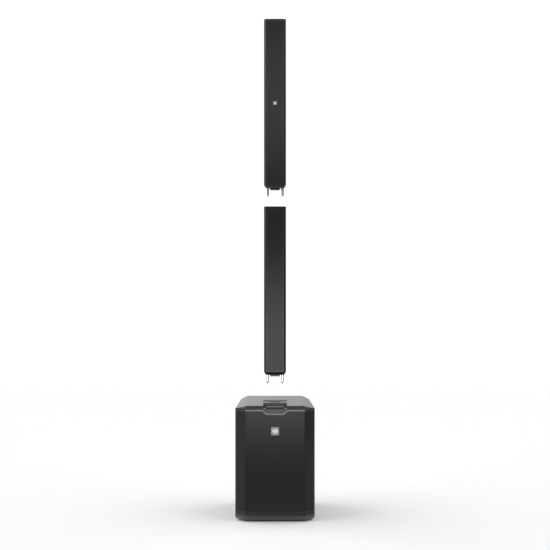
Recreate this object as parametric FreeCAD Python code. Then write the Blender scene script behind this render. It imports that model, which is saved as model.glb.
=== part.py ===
"""Column PA system, drawn in the state in which it is unpacked: a bass cabinet on the floor, and two
loudspeaker columns lifted straight off their seats, one above the other.

Frame: millimetres, +Z up, the origin on the floor under the middle of the cabinet's bounding box.
The front faces -Y. Every function returns the solids of one node, and NODES at the end lists them.
"""

import FreeCAD
import Part

import math
import os

V = FreeCAD.Vector

# ---- Cabinet: driving dimensions -------------------------------------------------------------------
CAB_TOP = 550.0            # flat top above the floor
CAB_DEPTH = 460.0
CAB_WIDTH = 380.0          # at the shoulders
FRONT_HALF = 143.0         # half width of the flat front
SHOULDER_DEPTH = 45.0      # how far the front corners lean back
REAR_SHOULDER = (172.0, 170.0)
REAR_HALF = 150.0
FOOT_HEIGHT = 7.0
TRAY_TOP = 45.0            # seam between the moulded base and the wooden box
COVER_SEAM = 520.0         # seam between the wooden box and the moulded top
BOARD = 15.0               # side, top and bottom boards
REAR_BOARD = 18.0
GRILLE_TOP = 533.0
NOTCH_BOTTOM = 516.0       # the grille dips here, under the handle
NOTCH_HALF = (40.0, 57.0)  # half width of the dip at its bottom and at its top
SHEET = 1.5                # steel of the grilles
BADGE_PROUD = 2.2          # the badge stands this far in front of the grille

FRONT_Y = -CAB_DEPTH / 2 + BADGE_PROUD / 2
REAR_Y = CAB_DEPTH / 2 + BADGE_PROUD / 2
SHOULDER_Y = FRONT_Y + SHOULDER_DEPTH

# ---- Columns: driving dimensions -------------------------------------------------------------------
COL_LENGTH = 824.0         # from the flat end of the nose to the top
COL_WIDTH = 108.0
COL_DEPTH = 92.0
COL_Y = -27.0              # centre of both columns
COL_FRONT_HALF = 45.0      # flat front between the chamfered edges
COL_CHAMFER = (9.0, 10.0)  # front edge: sideways, backwards
NOSE = 14.0                # tapered end that drops into the seat
NOSE_INSET = 9.0
CAP = 12.0                 # moulded cap at the top
WALL = 2.5                 # aluminium extrusion
SEAT_DEPTH = 3.0           # how far the nose sinks into a seat
PIN_RADIUS = 7.0
PIN_REACH = 44.0           # guide pin below the nose
PIN_X = 36.5
PLUG = (48.0, 26.0, 10.0)  # multipole plug below the nose: width, depth, height
LOWER_LIFT = 137.0         # how far each column hangs above its seat in this state
UPPER_LIFT = 95.0
REST_GAP = 0.3             # left under a seated column

LOWER_Z = CAB_TOP - SEAT_DEPTH + REST_GAP + LOWER_LIFT
UPPER_Z = LOWER_Z + COL_LENGTH - SEAT_DEPTH + REST_GAP + UPPER_LIFT

# ---- Drivers ---------------------------------------------------------------------------------------
WOOFER_Z = 225.0
WOOFER_RADIUS = 155.0      # 12 inch chassis
BAFFLE = 18.0
STROKE = 8.0
PORT_X, PORT_Z, PORT_RADIUS, PORT_LENGTH = 95.0, 437.0, 35.0, 110.0
MID_RADIUS = 41.0          # 3.5 inch chassis
MID_PITCH = 87.0
MID_COUNT = 8
MID_STROKE = 2.0
HORN_HEIGHT = 92.0

# ---- Rear panel ------------------------------------------------------------------------------------
PANEL_HALF = 129.5
PANEL_Z = (95.5, 484.5)
PANEL_SHEET = 3.0
PANEL_Y = REAR_Y - REAR_BOARD + PANEL_SHEET   # outer face of the panel, deep in its recess
KNOB_Z = 385.0
KNOB_XS = (-90.0, -30.0, 30.0, 90.0)
KNOB_RADIUS, KNOB_HEIGHT = 11.0, 13.0
ENCODER = (85.0, 447.0)
BUTTON_XZ = ((-75.0, 458.0), (-75.0, 436.0))
SOCKET_Z = 322.0
COMBO_XS = (-90.0, -40.0)
PHONO_XZ = ((10.0, 332.0), (10.0, 312.0))
LINK_X = 90.0
INLET = (-70.0, 140.0)
ROCKER = (-25.0, 140.0)
ROCKER_AXIS_Y = PANEL_Y - 2.0
ROCKER_TILT = -7.0
HEATSINK_Z = (190.0, 280.0)


# ---- Small tools -----------------------------------------------------------------------------------
def box(x0, x1, y0, y1, z0, z1):
    return Part.makeBox(x1 - x0, y1 - y0, z1 - z0, V(x0, y0, z0))


def rod(radius, start, end):
    """A cylinder from one point to another."""
    start, end = V(*start), V(*end)
    return Part.makeCylinder(radius, (end - start).Length, start, end - start)


def tube(outer, inner, start, end):
    return rod(outer, start, end).cut(rod(inner, start, end))


def both_sides(half):
    """A closed outline from the points of its right half, front to back."""
    return half + [(-x, y) for x, y in reversed(half)]


def face_of(points, z=0.0):
    corners = [V(x, y, z) for x, y in points]
    return Part.Face(Part.makePolygon(corners + corners[:1]))


def prism(points, z0, z1, inset=0.0):
    """An XY outline, shrunk by inset, from z0 to z1."""
    face = face_of(points, z0)
    if inset:
        face = Part.Face(face.makeOffset2D(-inset, 2, False, False, False).OuterWire)
    return face.extrude(V(0, 0, z1 - z0))


def prism_x(points, x0, x1):
    """A YZ outline from x0 to x1."""
    corners = [V(x0, y, z) for y, z in points]
    return Part.Face(Part.makePolygon(corners + corners[:1])).extrude(V(x1 - x0, 0, 0))


def prism_y(points, y0, y1):
    """An XZ outline from y0 to y1."""
    corners = [V(x, y0, z) for x, z in points]
    return Part.Face(Part.makePolygon(corners + corners[:1])).extrude(V(0, y1 - y0, 0))


def turned(points, x, z):
    """(radius, y) points turned about the line along Y through x, z."""
    corners = [V(x + r, y, z) for r, y in points]
    face = Part.Face(Part.makePolygon(corners + corners[:1]))
    return face.revolve(V(x, 0, z), V(0, 1, 0), 360)


def union(shapes):
    first, *rest = shapes
    return first.fuse(rest).removeSplitter() if rest else first


def group(shapes):
    """Separate solids that share a node."""
    return Part.makeCompound(shapes)


def softened(shape, radius, wanted):
    """The shape with the edges that wanted(edge) picks rounded."""
    return shape.makeFillet(radius, [e for e in shape.Edges if wanted(e)])


# ---- Cabinet outline -------------------------------------------------------------------------------
CAB_HALF = [(FRONT_HALF, FRONT_Y), (CAB_WIDTH / 2, SHOULDER_Y), REAR_SHOULDER, (REAR_HALF, REAR_Y)]
CAB_PLAN = both_sides(CAB_HALF)
BOX_PLAN = both_sides(CAB_HALF[1:])


def side_x(y):
    """Half width of the wooden box at y, between the front and rear shoulders."""
    x1, y1 = REAR_SHOULDER
    return CAB_WIDTH / 2 - (CAB_WIDTH / 2 - x1) * (y - SHOULDER_Y) / (y1 - SHOULDER_Y)


def inner_x(y):
    return side_x(y) - BOARD - 0.1


def front_band(z0, z1, outside, inside):
    """What lies between two insets of the cabinet's outline, in front of the shoulders."""
    outer = prism(CAB_PLAN, z0, z1, outside) if outside else prism(CAB_PLAN, z0, z1)
    shell = outer.cut(prism(CAB_PLAN, z0, z1, inside))
    return shell.common(box(-200, 200, FRONT_Y - 1, SHOULDER_Y - 0.5, z0, z1))


def notch(grow, y0, y1):
    """The dip under the handle, grown by grow on its slanting sides and its bottom."""
    low, high = NOTCH_HALF
    z0, z1 = NOTCH_BOTTOM - grow, GRILLE_TOP + 30
    wide = high + (high - low) / (GRILLE_TOP - NOTCH_BOTTOM) * 30
    half = [(low + grow, z0), (wide + grow, z1)]
    return prism_y(half + [(-x, z) for x, z in reversed(half)], y0, y1)


# ---- Cabinet: box ----------------------------------------------------------------------------------
def cabinet_box():
    """Four walls, top and bottom boards glued into one, open at the front, with the panel's cut-out."""
    shell = prism(BOX_PLAN, TRAY_TOP, COVER_SEAM)
    hollow = prism(BOX_PLAN, TRAY_TOP + BOARD, COVER_SEAM - BOARD, BOARD)
    hollow = hollow.common(box(-200, 200, SHOULDER_Y - 1, REAR_Y - REAR_BOARD, 0, CAB_TOP))
    mouth = prism(both_sides([(inner_x(SHOULDER_Y) + 0.1, SHOULDER_Y - 1), (inner_x(0) + 0.1, 0.0)]),
                  TRAY_TOP + BOARD, COVER_SEAM - BOARD)
    opening = box(-PANEL_HALF - 0.5, PANEL_HALF + 0.5, REAR_Y - REAR_BOARD - 1, REAR_Y + 1,
                  PANEL_Z[0] - 0.5, PANEL_Z[1] + 0.5)
    cups = union([prism(POCKET_PLAN, 480, CAB_TOP, -4.4), socket_cup(0.4)])
    return shell.cut([hollow, mouth, opening, cups])


def base_tray():
    """Moulded base: an open dish with a bevelled foot line and a front that curls in under the cabinet."""
    dish = prism(CAB_PLAN, FOOT_HEIGHT, TRAY_TOP)
    bevel = 9.0
    bottom = [e for e in dish.Edges if all(abs(v.Z - FOOT_HEIGHT) < 0.01 for v in e.Vertexes)]
    dish = dish.makeChamfer(bevel, bottom).cut(curl_cutter())
    dish = dish.cut(prism(CAB_PLAN, FOOT_HEIGHT + 5, TRAY_TOP, 14))
    posts = [rod(13, (x, y, FOOT_HEIGHT + 4), (x, y, TRAY_TOP)) for x, y in foot_places()]
    pilots = [rod(2.1, (x, y, FOOT_HEIGHT - 1), (x, y, TRAY_TOP + 1)) for x, y in foot_places()]
    return union([dish] + posts).cut(pilots)


def curl_cutter():
    """What is cut off the base so that its front follows an arc from just below the seam to the foot line."""
    curl, start = 42.0, TRAY_TOP - 5
    turn = math.asin((start - FOOT_HEIGHT) / curl)

    def on_arc(angle):
        return V(-200, FRONT_Y + curl - curl * math.cos(angle), start - curl * math.sin(angle))

    ahead = [V(-200, FRONT_Y - 5, FOOT_HEIGHT - 1), V(-200, FRONT_Y - 5, start)]
    below = V(-200, on_arc(turn).y, FOOT_HEIGHT - 1)
    edges = [Part.Arc(on_arc(0), on_arc(turn / 2), on_arc(turn)).toShape()]
    edges += [Part.makeLine(a, b) for a, b in ((on_arc(turn), below), (below, ahead[0]), (ahead[0], ahead[1]),
                                               (ahead[1], on_arc(0)))]
    return Part.Face(Part.Wire(edges)).extrude(V(400, 0, 0))


def foot_places():
    return [(side * x, y) for x, y in ((142.0, -165.0), (128.0, 178.0)) for side in (-1, 1)]


def rubber_feet():
    """Four turned rubber feet, each with a deep seat for its screw."""
    feet = []
    for x, y in foot_places():
        foot = rod(19, (x, y, 0), (x, y, FOOT_HEIGHT))
        foot = foot.makeChamfer(1.5, [e for e in foot.Edges if e.BoundBox.ZMax < 0.01])
        feet.append(foot.cut([rod(6, (x, y, -1), (x, y, 4)), rod(2.3, (x, y, 3), (x, y, 8))]))
    return group(feet)


def foot_screws():
    """Pan-head screws that hold the feet and the base to the box."""
    screws = []
    for x, y in foot_places():
        head = rod(4.4, (x, y, 1.4), (x, y, 4.0))
        slot = box(x - 3, x + 3, y - 0.6, y + 0.6, 1.0, 2.4)
        screws.append(head.fuse(rod(2.0, (x, y, 4.0), (x, y, TRAY_TOP - 2))).cut(slot))
    return group(screws)


def front_baffle():
    """Front board inside the box, with the woofer's and the ports' holes."""
    y0, y1 = SHOULDER_Y, SHOULDER_Y + BAFFLE
    board = prism(both_sides([(inner_x(y0), y0), (inner_x(y1), y1)]), TRAY_TOP + BOARD, COVER_SEAM - BOARD)
    holes = [rod(141, (0, y0 - 1, WOOFER_Z), (0, y1 + 1, WOOFER_Z))]
    holes += [rod(PORT_RADIUS + 3.2, (x, y0 - 1, PORT_Z), (x, y1 + 1, PORT_Z)) for x in (-PORT_X, PORT_X)]
    pocket = prism(POCKET_PLAN, 480, CAB_TOP, -4.4)
    return board.cut(holes + [pocket])


def port_tubes():
    """Two bass ports, flared where they pass through the baffle."""
    tubes = []
    front = SHOULDER_Y - 4
    for x in (-PORT_X, PORT_X):
        shape = turned([(PORT_RADIUS + 6, front), (PORT_RADIUS + 12, SHOULDER_Y), (PORT_RADIUS + 3, SHOULDER_Y),
                        (PORT_RADIUS + 3, front + PORT_LENGTH), (PORT_RADIUS, front + PORT_LENGTH),
                        (PORT_RADIUS, SHOULDER_Y + 8)], x, PORT_Z)
        tubes.append(shape)
    return group(tubes)


# ---- Cabinet: front --------------------------------------------------------------------------------
def front_grille():
    """Steel grille with its sides folded back to the shoulders and its upper edge turned in."""
    sheet = front_band(TRAY_TOP, GRILLE_TOP, 0, SHEET)
    turn_in = front_band(GRILLE_TOP - SHEET, GRILLE_TOP, 0, 7)
    return union([sheet, turn_in]).cut(notch(0.4, FRONT_Y - 5, SHOULDER_Y))


def grille_foam():
    """Acoustic foam glued behind the steel."""
    foam = front_band(TRAY_TOP + 2, GRILLE_TOP - 8, SHEET, SHEET + 6)
    return foam.cut(notch(3, FRONT_Y - 5, SHOULDER_Y))


def cabinet_badge():
    """Square badge with softened corners, and three raised bars."""
    half, thick, z = 19.0, BADGE_PROUD - 0.6, 432.0
    plate = box(-half, half, FRONT_Y - thick, FRONT_Y, z - half, z + half)
    plate = softened(plate, 6, lambda e: abs(e.Vertexes[0].Y - e.Vertexes[-1].Y) > thick / 2)
    bars = [box(x - 2.6, x + 2.6, FRONT_Y - thick - 0.6, FRONT_Y - thick, z - h, z + h)
            for x, h in ((-9.0, 5.0), (0.0, 11.0), (9.0, 7.5))]
    return union([plate] + bars)


# ---- Cabinet: moulded top --------------------------------------------------------------------------
POCKET_REAR, POCKET_FRONT, POCKET_FLOOR = -82.0, -198.0, 490.0
POCKET_PLAN = both_sides([(56.0, POCKET_FRONT), (57.5, POCKET_REAR)])
SEAT_HALF = 58.0
SEAT_Y = (COL_Y - COL_DEPTH / 2 - 2.0, COL_Y + COL_DEPTH / 2 + 2.0)
CUP_FLOOR = 490.0


def socket_cup(grow=0.0):
    """Outer shape of the well that carries the column's bushes and socket."""
    return box(-52 - grow, 52 + grow, COL_Y - 24 - grow, COL_Y + 24 + grow, CUP_FLOOR - grow, CAB_TOP - 3)


def cover_bevels():
    """What is cut off the block's top edges: front, leaning corners and the long side slopes."""
    drop = 15.0
    front = prism_x([(FRONT_Y - 1, CAB_TOP + 1), (FRONT_Y + 20, CAB_TOP + 1), (FRONT_Y + 20, CAB_TOP),
                     (FRONT_Y, CAB_TOP - drop), (FRONT_Y - 1, CAB_TOP - drop)], -200, 200)
    cuts = [front]
    lean = math.degrees(math.atan2(SHOULDER_DEPTH, CAB_WIDTH / 2 - FRONT_HALF))
    for side in (-1, 1):
        corner = prism_x([(-1, CAB_TOP + 1), (14, CAB_TOP + 1), (14, CAB_TOP), (0, CAB_TOP - drop + 3),
                          (-1, CAB_TOP - drop + 3)], -60, 120)
        if side < 0:
            corner = corner.mirror(V(0, 0, 0), V(1, 0, 0))
        corner.rotate(V(0, 0, 0), V(0, 0, 1), side * lean)
        corner.translate(V(side * FRONT_HALF, FRONT_Y, 0))
        cuts.append(corner)
        slope = prism_y([(side * 136, CAB_TOP), (side * 136, CAB_TOP + 1), (side * 200, CAB_TOP + 1),
                         (side * 200, CAB_TOP - 14 * 64 / 54)], FRONT_Y - 1, REAR_Y + 1)
        cuts.append(slope)
    return cuts


def top_cover():
    """Moulded top: shell, hand pocket behind a lip that stands free at its ends, column seat and the well below it."""
    shell = prism(CAB_PLAN, COVER_SEAM, CAB_TOP)
    rebate = front_band(COVER_SEAM - 1, GRILLE_TOP + 0.3, 0, 8.0)
    lip = notch(0, FRONT_Y, POCKET_FRONT + 3).common(box(-80, 80, FRONT_Y, 0, NOTCH_BOTTOM, CAB_TOP - 3))
    hollow = [prism(CAB_PLAN, COVER_SEAM, COVER_SEAM + 10, 7), prism(CAB_PLAN, COVER_SEAM, CAB_TOP - 12, 62)]
    cup = prism(POCKET_PLAN, POCKET_FLOOR - 4, CAB_TOP - 3, -4)
    shell = union([shell.cut([rebate] + hollow), lip, cup, socket_cup()])
    pocket = prism(POCKET_PLAN, POCKET_FLOOR, CAB_TOP + 1)
    dip = prism_y([(-42, CAB_TOP - 5), (42, CAB_TOP - 5), (49, CAB_TOP + 1), (-49, CAB_TOP + 1)],
                  FRONT_Y - 1, POCKET_FRONT + 1)
    ears = [prism_y([(s * x, z) for x, z in ((43, CAB_TOP + 1), (43, 541), (46, 538), (55, 538), (58, 541),
                                             (58, CAB_TOP + 1))], FRONT_Y - 1, POCKET_FRONT + 1) for s in (-1, 1)]
    seat = box(-SEAT_HALF, SEAT_HALF, *SEAT_Y, CAB_TOP - SEAT_DEPTH, CAB_TOP + 1)
    seat = softened(seat, 8, lambda e: abs(e.Vertexes[0].Z - e.Vertexes[-1].Z) > 1)
    wells = [rod(PIN_RADIUS + 2.5, (x, COL_Y, CUP_FLOOR + 4), (x, COL_Y, CAB_TOP)) for x in (-PIN_X, PIN_X)]
    block = box(-26.8, 26.8, COL_Y - 16, COL_Y + 16, CAB_TOP - SEAT_DEPTH - 24, CAB_TOP)
    return shell.cut(cover_bevels() + [pocket, dip, seat, block] + ears + wells)


def guide_bushes(z):
    """Two steel bushes under a seat whose floor is at z."""
    low = z - 50
    return group([tube(PIN_RADIUS + 2.5, PIN_RADIUS + 0.2, (x, COL_Y, low), (x, COL_Y, z)) for x in (-PIN_X, PIN_X)])


def multipole_socket(z):
    """Socket block under a seat whose floor is at z, with eight contact holes."""
    wide, deep, high = PLUG
    block = box(-26.8, 26.8, COL_Y - 16, COL_Y + 16, z - 22, z)
    mouth = box(-wide / 2 - 0.5, wide / 2 + 0.5, COL_Y - deep / 2 - 0.5, COL_Y + deep / 2 + 0.5, z - high - 1, z + 1)
    holes = [rod(1.8, (x, y, z - high - 7.5), (x, y, z)) for x, y in contact_places()]
    return block.cut([mouth] + holes)


def contact_places():
    return [(x, COL_Y + y) for x in (-18.0, -6.0, 6.0, 18.0) for y in (-6.0, 6.0)]


# ---- Woofer ----------------------------------------------------------------------------------------
FLANGE_Y = SHOULDER_Y - 6
MOTOR_Y = -95.0
COIL_RADIUS = 38.5


def woofer_frame():
    """Cast chassis: rim, eight arms and the seat for the motor."""
    rim = turned([(WOOFER_RADIUS, FLANGE_Y + 1), (WOOFER_RADIUS - 1, FLANGE_Y), (137, FLANGE_Y), (137, SHOULDER_Y + 6),
                  (140, SHOULDER_Y + 6), (140, SHOULDER_Y), (WOOFER_RADIUS, SHOULDER_Y)], 0, WOOFER_Z)
    basket = turned([(137, SHOULDER_Y + 2), (140, SHOULDER_Y + 2), (71, MOTOR_Y), (60, MOTOR_Y), (60, MOTOR_Y - 4),
                     (67, MOTOR_Y - 4)], 0, WOOFER_Z)
    windows = []
    for step in range(8):
        cut = box(-19, 19, SHOULDER_Y + 14, MOTOR_Y - 12, 60, 150)
        cut.rotate(V(0, 0, 0), V(0, 1, 0), step * 45 + 22.5)
        cut.translate(V(0, 0, WOOFER_Z))
        windows.append(cut)
    holes = []
    for step in range(8):
        turn = math.radians(step * 45)
        x, z = 148 * math.sin(turn), WOOFER_Z + 148 * math.cos(turn)
        holes.append(rod(2.8, (x, FLANGE_Y - 1, z), (x, SHOULDER_Y + 1, z)))
    return union([rim, basket]).cut(windows + holes)


def woofer_motor():
    """Front plate, ferrite ring and back plate with its pole, three solids."""
    y = MOTOR_Y
    front = tube(72, COIL_RADIUS + 2.5, (0, y, WOOFER_Z), (0, y + 8, WOOFER_Z))
    magnet = tube(82, 46, (0, y + 8, WOOFER_Z), (0, y + 30, WOOFER_Z))
    back = turned([(76, y + 30), (76, y + 40), (12, y + 40), (12, y), (COIL_RADIUS - 2, y), (COIL_RADIUS - 2, y + 30)],
                  0, WOOFER_Z)
    return group([front, magnet, back])


def woofer_cone():
    """Moving part: paper cone, dust cap and voice-coil former."""
    y = FLANGE_Y - 1
    return turned([(0, y + 30), (20, y + 32), (38, y + 41), (42, y + 51), (119.6, y + 3), (119.6, y), (116, y),
                   (44, y + 46), (40, y + 38.5), (18, y + 28.5), (0, y + 26.5)], 0, WOOFER_Z).fuse(
        tube(COIL_RADIUS + 0.5, COIL_RADIUS - 0.5, (0, y + 38, WOOFER_Z), (0, MOTOR_Y + 14, WOOFER_Z)))


def half_roll(inner, outer, y, height, thick, x, z):
    """A ring with a half-round roll that bulges forwards between two flat lips."""
    middle, radius = (inner + outer) / 2, (outer - inner) / 2 - 3
    front = [V(x + inner, y, z), V(x + middle - radius, y, z)]
    arc_out = Part.Arc(V(x + middle - radius, y, z), V(x + middle, y - height, z), V(x + middle + radius, y, z))
    arc_in = Part.Arc(V(x + middle + radius - thick, y + thick, z), V(x + middle, y - height + thick, z),
                      V(x + middle - radius + thick, y + thick, z))
    edges = [Part.makeLine(front[0], front[1]), arc_out.toShape(),
             Part.makeLine(V(x + middle + radius, y, z), V(x + outer, y, z)),
             Part.makeLine(V(x + outer, y, z), V(x + outer, y + thick, z)),
             Part.makeLine(V(x + outer, y + thick, z), V(x + middle + radius - thick, y + thick, z)),
             arc_in.toShape(),
             Part.makeLine(V(x + middle - radius + thick, y + thick, z), V(x + inner, y + thick, z)),
             Part.makeLine(V(x + inner, y + thick, z), front[0])]
    return Part.Face(Part.Wire(edges)).revolve(V(x, 0, z), V(0, 1, 0), 360)


def woofer_surround():
    """Rubber half roll between the cone's edge and the rim."""
    return half_roll(120.0, 145.0, FLANGE_Y - 1.2, 10.0, 1.2, 0, WOOFER_Z)


# ---- Rear panel ------------------------------------------------------------------------------------


def amp_panel():
    """Steel panel with the cut-outs of everything mounted in it."""
    y0, y1 = PANEL_Y - PANEL_SHEET, PANEL_Y
    plate = box(-PANEL_HALF, PANEL_HALF, y0, y1, *PANEL_Z)
    holes = [rod(3.5, (x, y0 - 1, KNOB_Z), (x, y1 + 1, KNOB_Z)) for x in KNOB_XS]
    holes.append(rod(3.5, (ENCODER[0], y0 - 1, ENCODER[1]), (ENCODER[0], y1 + 1, ENCODER[1])))
    holes += [rod(4.2, (x, y0 - 1, z), (x, y1 + 1, z)) for x, z in BUTTON_XZ]
    holes += [rod(12.2, (x, y0 - 1, SOCKET_Z), (x, y1 + 1, SOCKET_Z)) for x in COMBO_XS + (LINK_X,)]
    holes += [box(x - 4.5, x + 4.5, y0 - 1, y1 + 1, SOCKET_Z + 8, SOCKET_Z + 14.4) for x in COMBO_XS]
    holes += [rod(4.6, (x, y0 - 1, z), (x, y1 + 1, z)) for x, z in PHONO_XZ]
    holes.append(box(-42, 42, y0 - 1, y1 + 1, 427, 467))
    holes.append(box(INLET[0] - 15, INLET[0] + 15, y0 - 1, y1 + 1, INLET[1] - 12.5, INLET[1] + 12.5))
    holes.append(box(ROCKER[0] - 10, ROCKER[0] + 10, y0 - 1, y1 + 1, ROCKER[1] - 14, ROCKER[1] + 14))
    holes += [rod(2.2, (x, y0 - 1, z), (x, y1 + 1, z)) for x, z in panel_screw_places()]
    plate = plate.cut(holes)
    return softened(plate, 5, lambda e: abs(e.Vertexes[0].Y - e.Vertexes[-1].Y) > PANEL_SHEET / 2
                    and abs(abs(e.Vertexes[0].X) - PANEL_HALF) < 0.01)


def panel_screw_places():
    z0, z1 = PANEL_Z
    rows = (z0 + 7, (z0 + z1) / 2, z1 - 7)
    places = [(side * (PANEL_HALF - 7), z) for side in (-1, 1) for z in rows]
    return places + [(0.0, z0 + 7), (0.0, z1 - 7)]


def panel_screws():
    """Eight pan-head screws around the panel."""
    screws = []
    for x, z in panel_screw_places():
        head = rod(4.2, (x, PANEL_Y, z), (x, PANEL_Y + 2.4, z))
        head = head.makeFillet(0.9, [e for e in head.Edges if e.BoundBox.YMin > PANEL_Y + 2.3])
        cross = [box(x - 2.2, x + 2.2, PANEL_Y + 1.2, PANEL_Y + 3, z - 0.4, z + 0.4),
                 box(x - 0.4, x + 0.4, PANEL_Y + 1.2, PANEL_Y + 3, z - 2.2, z + 2.2)]
        screws.append(head.cut(cross).fuse(rod(2.0, (x, PANEL_Y - 14, z), (x, PANEL_Y + 0.5, z))))
    return group(screws)


def heatsink():
    """Extruded fins across the panel, on a flat back."""
    z0, z1 = HEATSINK_Z
    back = box(-112, 112, PANEL_Y, PANEL_Y + 3, z0, z1)
    fins = [box(x - 1.1, x + 1.1, PANEL_Y + 2.5, PANEL_Y + 13, z0, z1) for x in (-110 + 10 * k for k in range(23))]
    return union([back] + fins)


def display_window():
    """Clear window over the menu display."""
    z0, z1 = 425.0, 469.0
    pane = box(-44, 44, PANEL_Y, PANEL_Y + 1.6, z0, z1)
    pane = softened(pane, 3, lambda e: abs(e.Vertexes[0].Y - e.Vertexes[-1].Y) > 1)
    return pane.fuse(box(-41.6, 41.6, PANEL_Y - PANEL_SHEET, PANEL_Y, z0 + 2.4, z1 - 2.4))


JACK_RADIUS, JACK_DEPTH = 3.3, 24.0


def combo_socket(x):
    """Combined three-pole and jack socket: flange, barrel, bore for the jack and three contact slots."""
    z, y = SOCKET_Z, PANEL_Y
    flange = box(x - 13, x + 13, y, y + 2, z - 15.5, z + 15.5)
    flange = softened(flange, 2.5, lambda e: abs(e.Vertexes[0].Y - e.Vertexes[-1].Y) > 1)
    barrel = rod(12, (x, y - 28, z), (x, y + 0.5, z))
    well = tube(9.4, 5.6, (x, y - 12, z), (x, y + 3, z))
    bore = rod(JACK_RADIUS, (x, y + 2 - JACK_DEPTH, z), (x, y + 3, z))
    latch = box(x - 4.3, x + 4.3, y - 6, y + 3, z + 9.0, z + 14.2)
    lead = rod(5.7, (x, y - 0.5, z), (x, y + 3, z))
    screws = [rod(1.7, (x + sx * 9.5, y - 1, z + sz * 12), (x + sx * 9.5, y + 3, z + sz * 12))
              for sx, sz in ((1, -1), (-1, 1))]
    return union([flange, barrel]).cut([well, bore, latch, lead] + screws)


def combo_sockets():
    return group([combo_socket(x) for x in COMBO_XS])


def latch_tab(x):
    """Release tab of a combined socket; it is pressed to free the plug."""
    z, y = SOCKET_Z, PANEL_Y
    tab = box(x - 4, x + 4, y - 1.5, y + 3.4, z + 9.5, z + 13.9)
    return softened(tab, 0.8, lambda e: e.BoundBox.YMin > y + 3.3)


def link_socket():
    """Male three-pole output: flange, shell and three contact pins."""
    x, z, y = LINK_X, SOCKET_Z, PANEL_Y
    flange = box(x - 13, x + 13, y, y + 2, z - 15.5, z + 15.5)
    flange = softened(flange, 2.5, lambda e: abs(e.Vertexes[0].Y - e.Vertexes[-1].Y) > 1)
    shell = rod(12, (x, y - 22, z), (x, y + 0.5, z))
    well = rod(9.3, (x, y - 14, z), (x, y + 3, z))
    pins = [rod(1.2, (x + a, y - 15, z + b), (x + a, y + 0.5, z + b)) for a, b in ((-4, 2.5), (4, 2.5), (0, -4.5))]
    return union([flange, shell]).cut(well).fuse(pins)


def phono_sockets():
    """Two phono sockets for a stereo line."""
    sockets = []
    for x, z in PHONO_XZ:
        body = union([rod(7.5, (x, PANEL_Y, z), (x, PANEL_Y + 1.6, z)), rod(4.2, (x, PANEL_Y - 9, z), (x, PANEL_Y + 9, z))])
        body = body.cut(rod(3.4, (x, PANEL_Y - 5, z), (x, PANEL_Y + 10, z)))
        core = tube(2.6, 1.6, (x, PANEL_Y - 5.5, z), (x, PANEL_Y + 8, z))
        sockets.append(body.fuse(core))
    return group(sockets)


def mains_inlet():
    """Appliance inlet with three blades, moulded in one with the frame of the power switch."""
    x, z, y = *INLET, PANEL_Y
    flange = box(x - 25, ROCKER[0] + 14, y, y + 2.2, z - 17, z + 17)
    flange = softened(flange, 4, lambda e: abs(e.Vertexes[0].Y - e.Vertexes[-1].Y) > 1)
    well = box(x - 14.5, x + 14.5, y - 24, y + 0.5, z - 12, z + 12)
    mouth = box(x - 12.2, x + 12.2, y - 20, y + 3, z - 8.5, z + 8.5)
    blades = [box(x + a - 1, x + a + 1, y - 21, y - 3, z + b - 3, z + b + 3) for a, b in ((-7, -1.5), (7, -1.5), (0, 2.5))]
    eye = rod(1.8, (x - 20, y - 1, z), (x - 20, y + 3, z))
    sx, sz = ROCKER
    body = box(sx - 9.7, sx + 9.7, y - 18, y + 0.5, sz - 13.7, sz + 13.7)
    gap = box(sx - 8, sx + 8, y - 10, y + 3, sz - 12, sz + 12)
    return union([flange, well, body]).cut([mouth, eye, gap]).fuse(blades)


def power_rocker():
    """Rocker of the power switch, tipped to off."""
    x, z = ROCKER
    y = ROCKER_AXIS_Y
    key = prism_x([(y - 4, z - 8), (y - 4, z + 8), (y + 2, z + 11), (y + 4.6, z + 11), (y + 3.2, z), (y + 4.6, z - 11),
                   (y + 2, z - 11)], x - 7.5, x + 7.5)
    key.rotate(V(x, y, z), V(1, 0, 0), ROCKER_TILT)
    return key


def control_knob(x, z, radius=KNOB_RADIUS):
    """Knurled knob with a pointer, on its shaft."""
    y = PANEL_Y + 0.8
    top = y + KNOB_HEIGHT
    grip = rod(radius, (x, y, z), (x, top, z))
    grip = grip.makeChamfer(1.0, [e for e in grip.Edges if e.BoundBox.YMin > top - 0.1])
    flutes = []
    for step in range(18):
        turn = math.radians(step * 20 + 10)
        a, b = x + (radius + 0.6) * math.sin(turn), z + (radius + 0.6) * math.cos(turn)
        flutes.append(rod(1.1, (a, y + 2, b), (a, top + 1, b)))
    pointer = box(x - 0.7, x + 0.7, top - 0.8, top + 1, z + radius * 0.35, z + radius + 1)
    return grip.cut(flutes + [pointer]).fuse(rod(3.0, (x, PANEL_Y - 6.5, z), (x, y + 2, z)))


def push_button(x, z):
    """Round button cap on its plunger."""
    cap = rod(3.9, (x, PANEL_Y - 5.5, z), (x, PANEL_Y + 4, z))
    return cap.makeFillet(0.8, [e for e in cap.Edges if e.BoundBox.YMin > PANEL_Y + 3.9])


def amp_board():
    """Circuit board with the power amplifiers above and the mains supply below."""
    y = PANEL_Y - PANEL_SHEET - 30
    board = box(-100, 100, y - 1.6, y, 100, 290)
    tall = [rod(9, (x, y - 28, z), (x, y - 1, z)) for x, z in ((-70, 210), (-45, 210), (-70, 240), (-45, 240))]
    tall += [rod(12, (x, y - 38, 138), (x, y - 1, 138)) for x in (-80, -50, -20)]
    coils = [tube(17, 7, (x, y - 14, 235), (x, y - 1, 235)) for x in (10, 55)]
    transformer = box(15, 63, y - 41, y - 1, 112, 160)
    spreader = box(-95, 95, y - 0.2, PANEL_Y - PANEL_SHEET, 262, 276)
    return union([board, transformer, spreader] + tall + coils)


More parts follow.
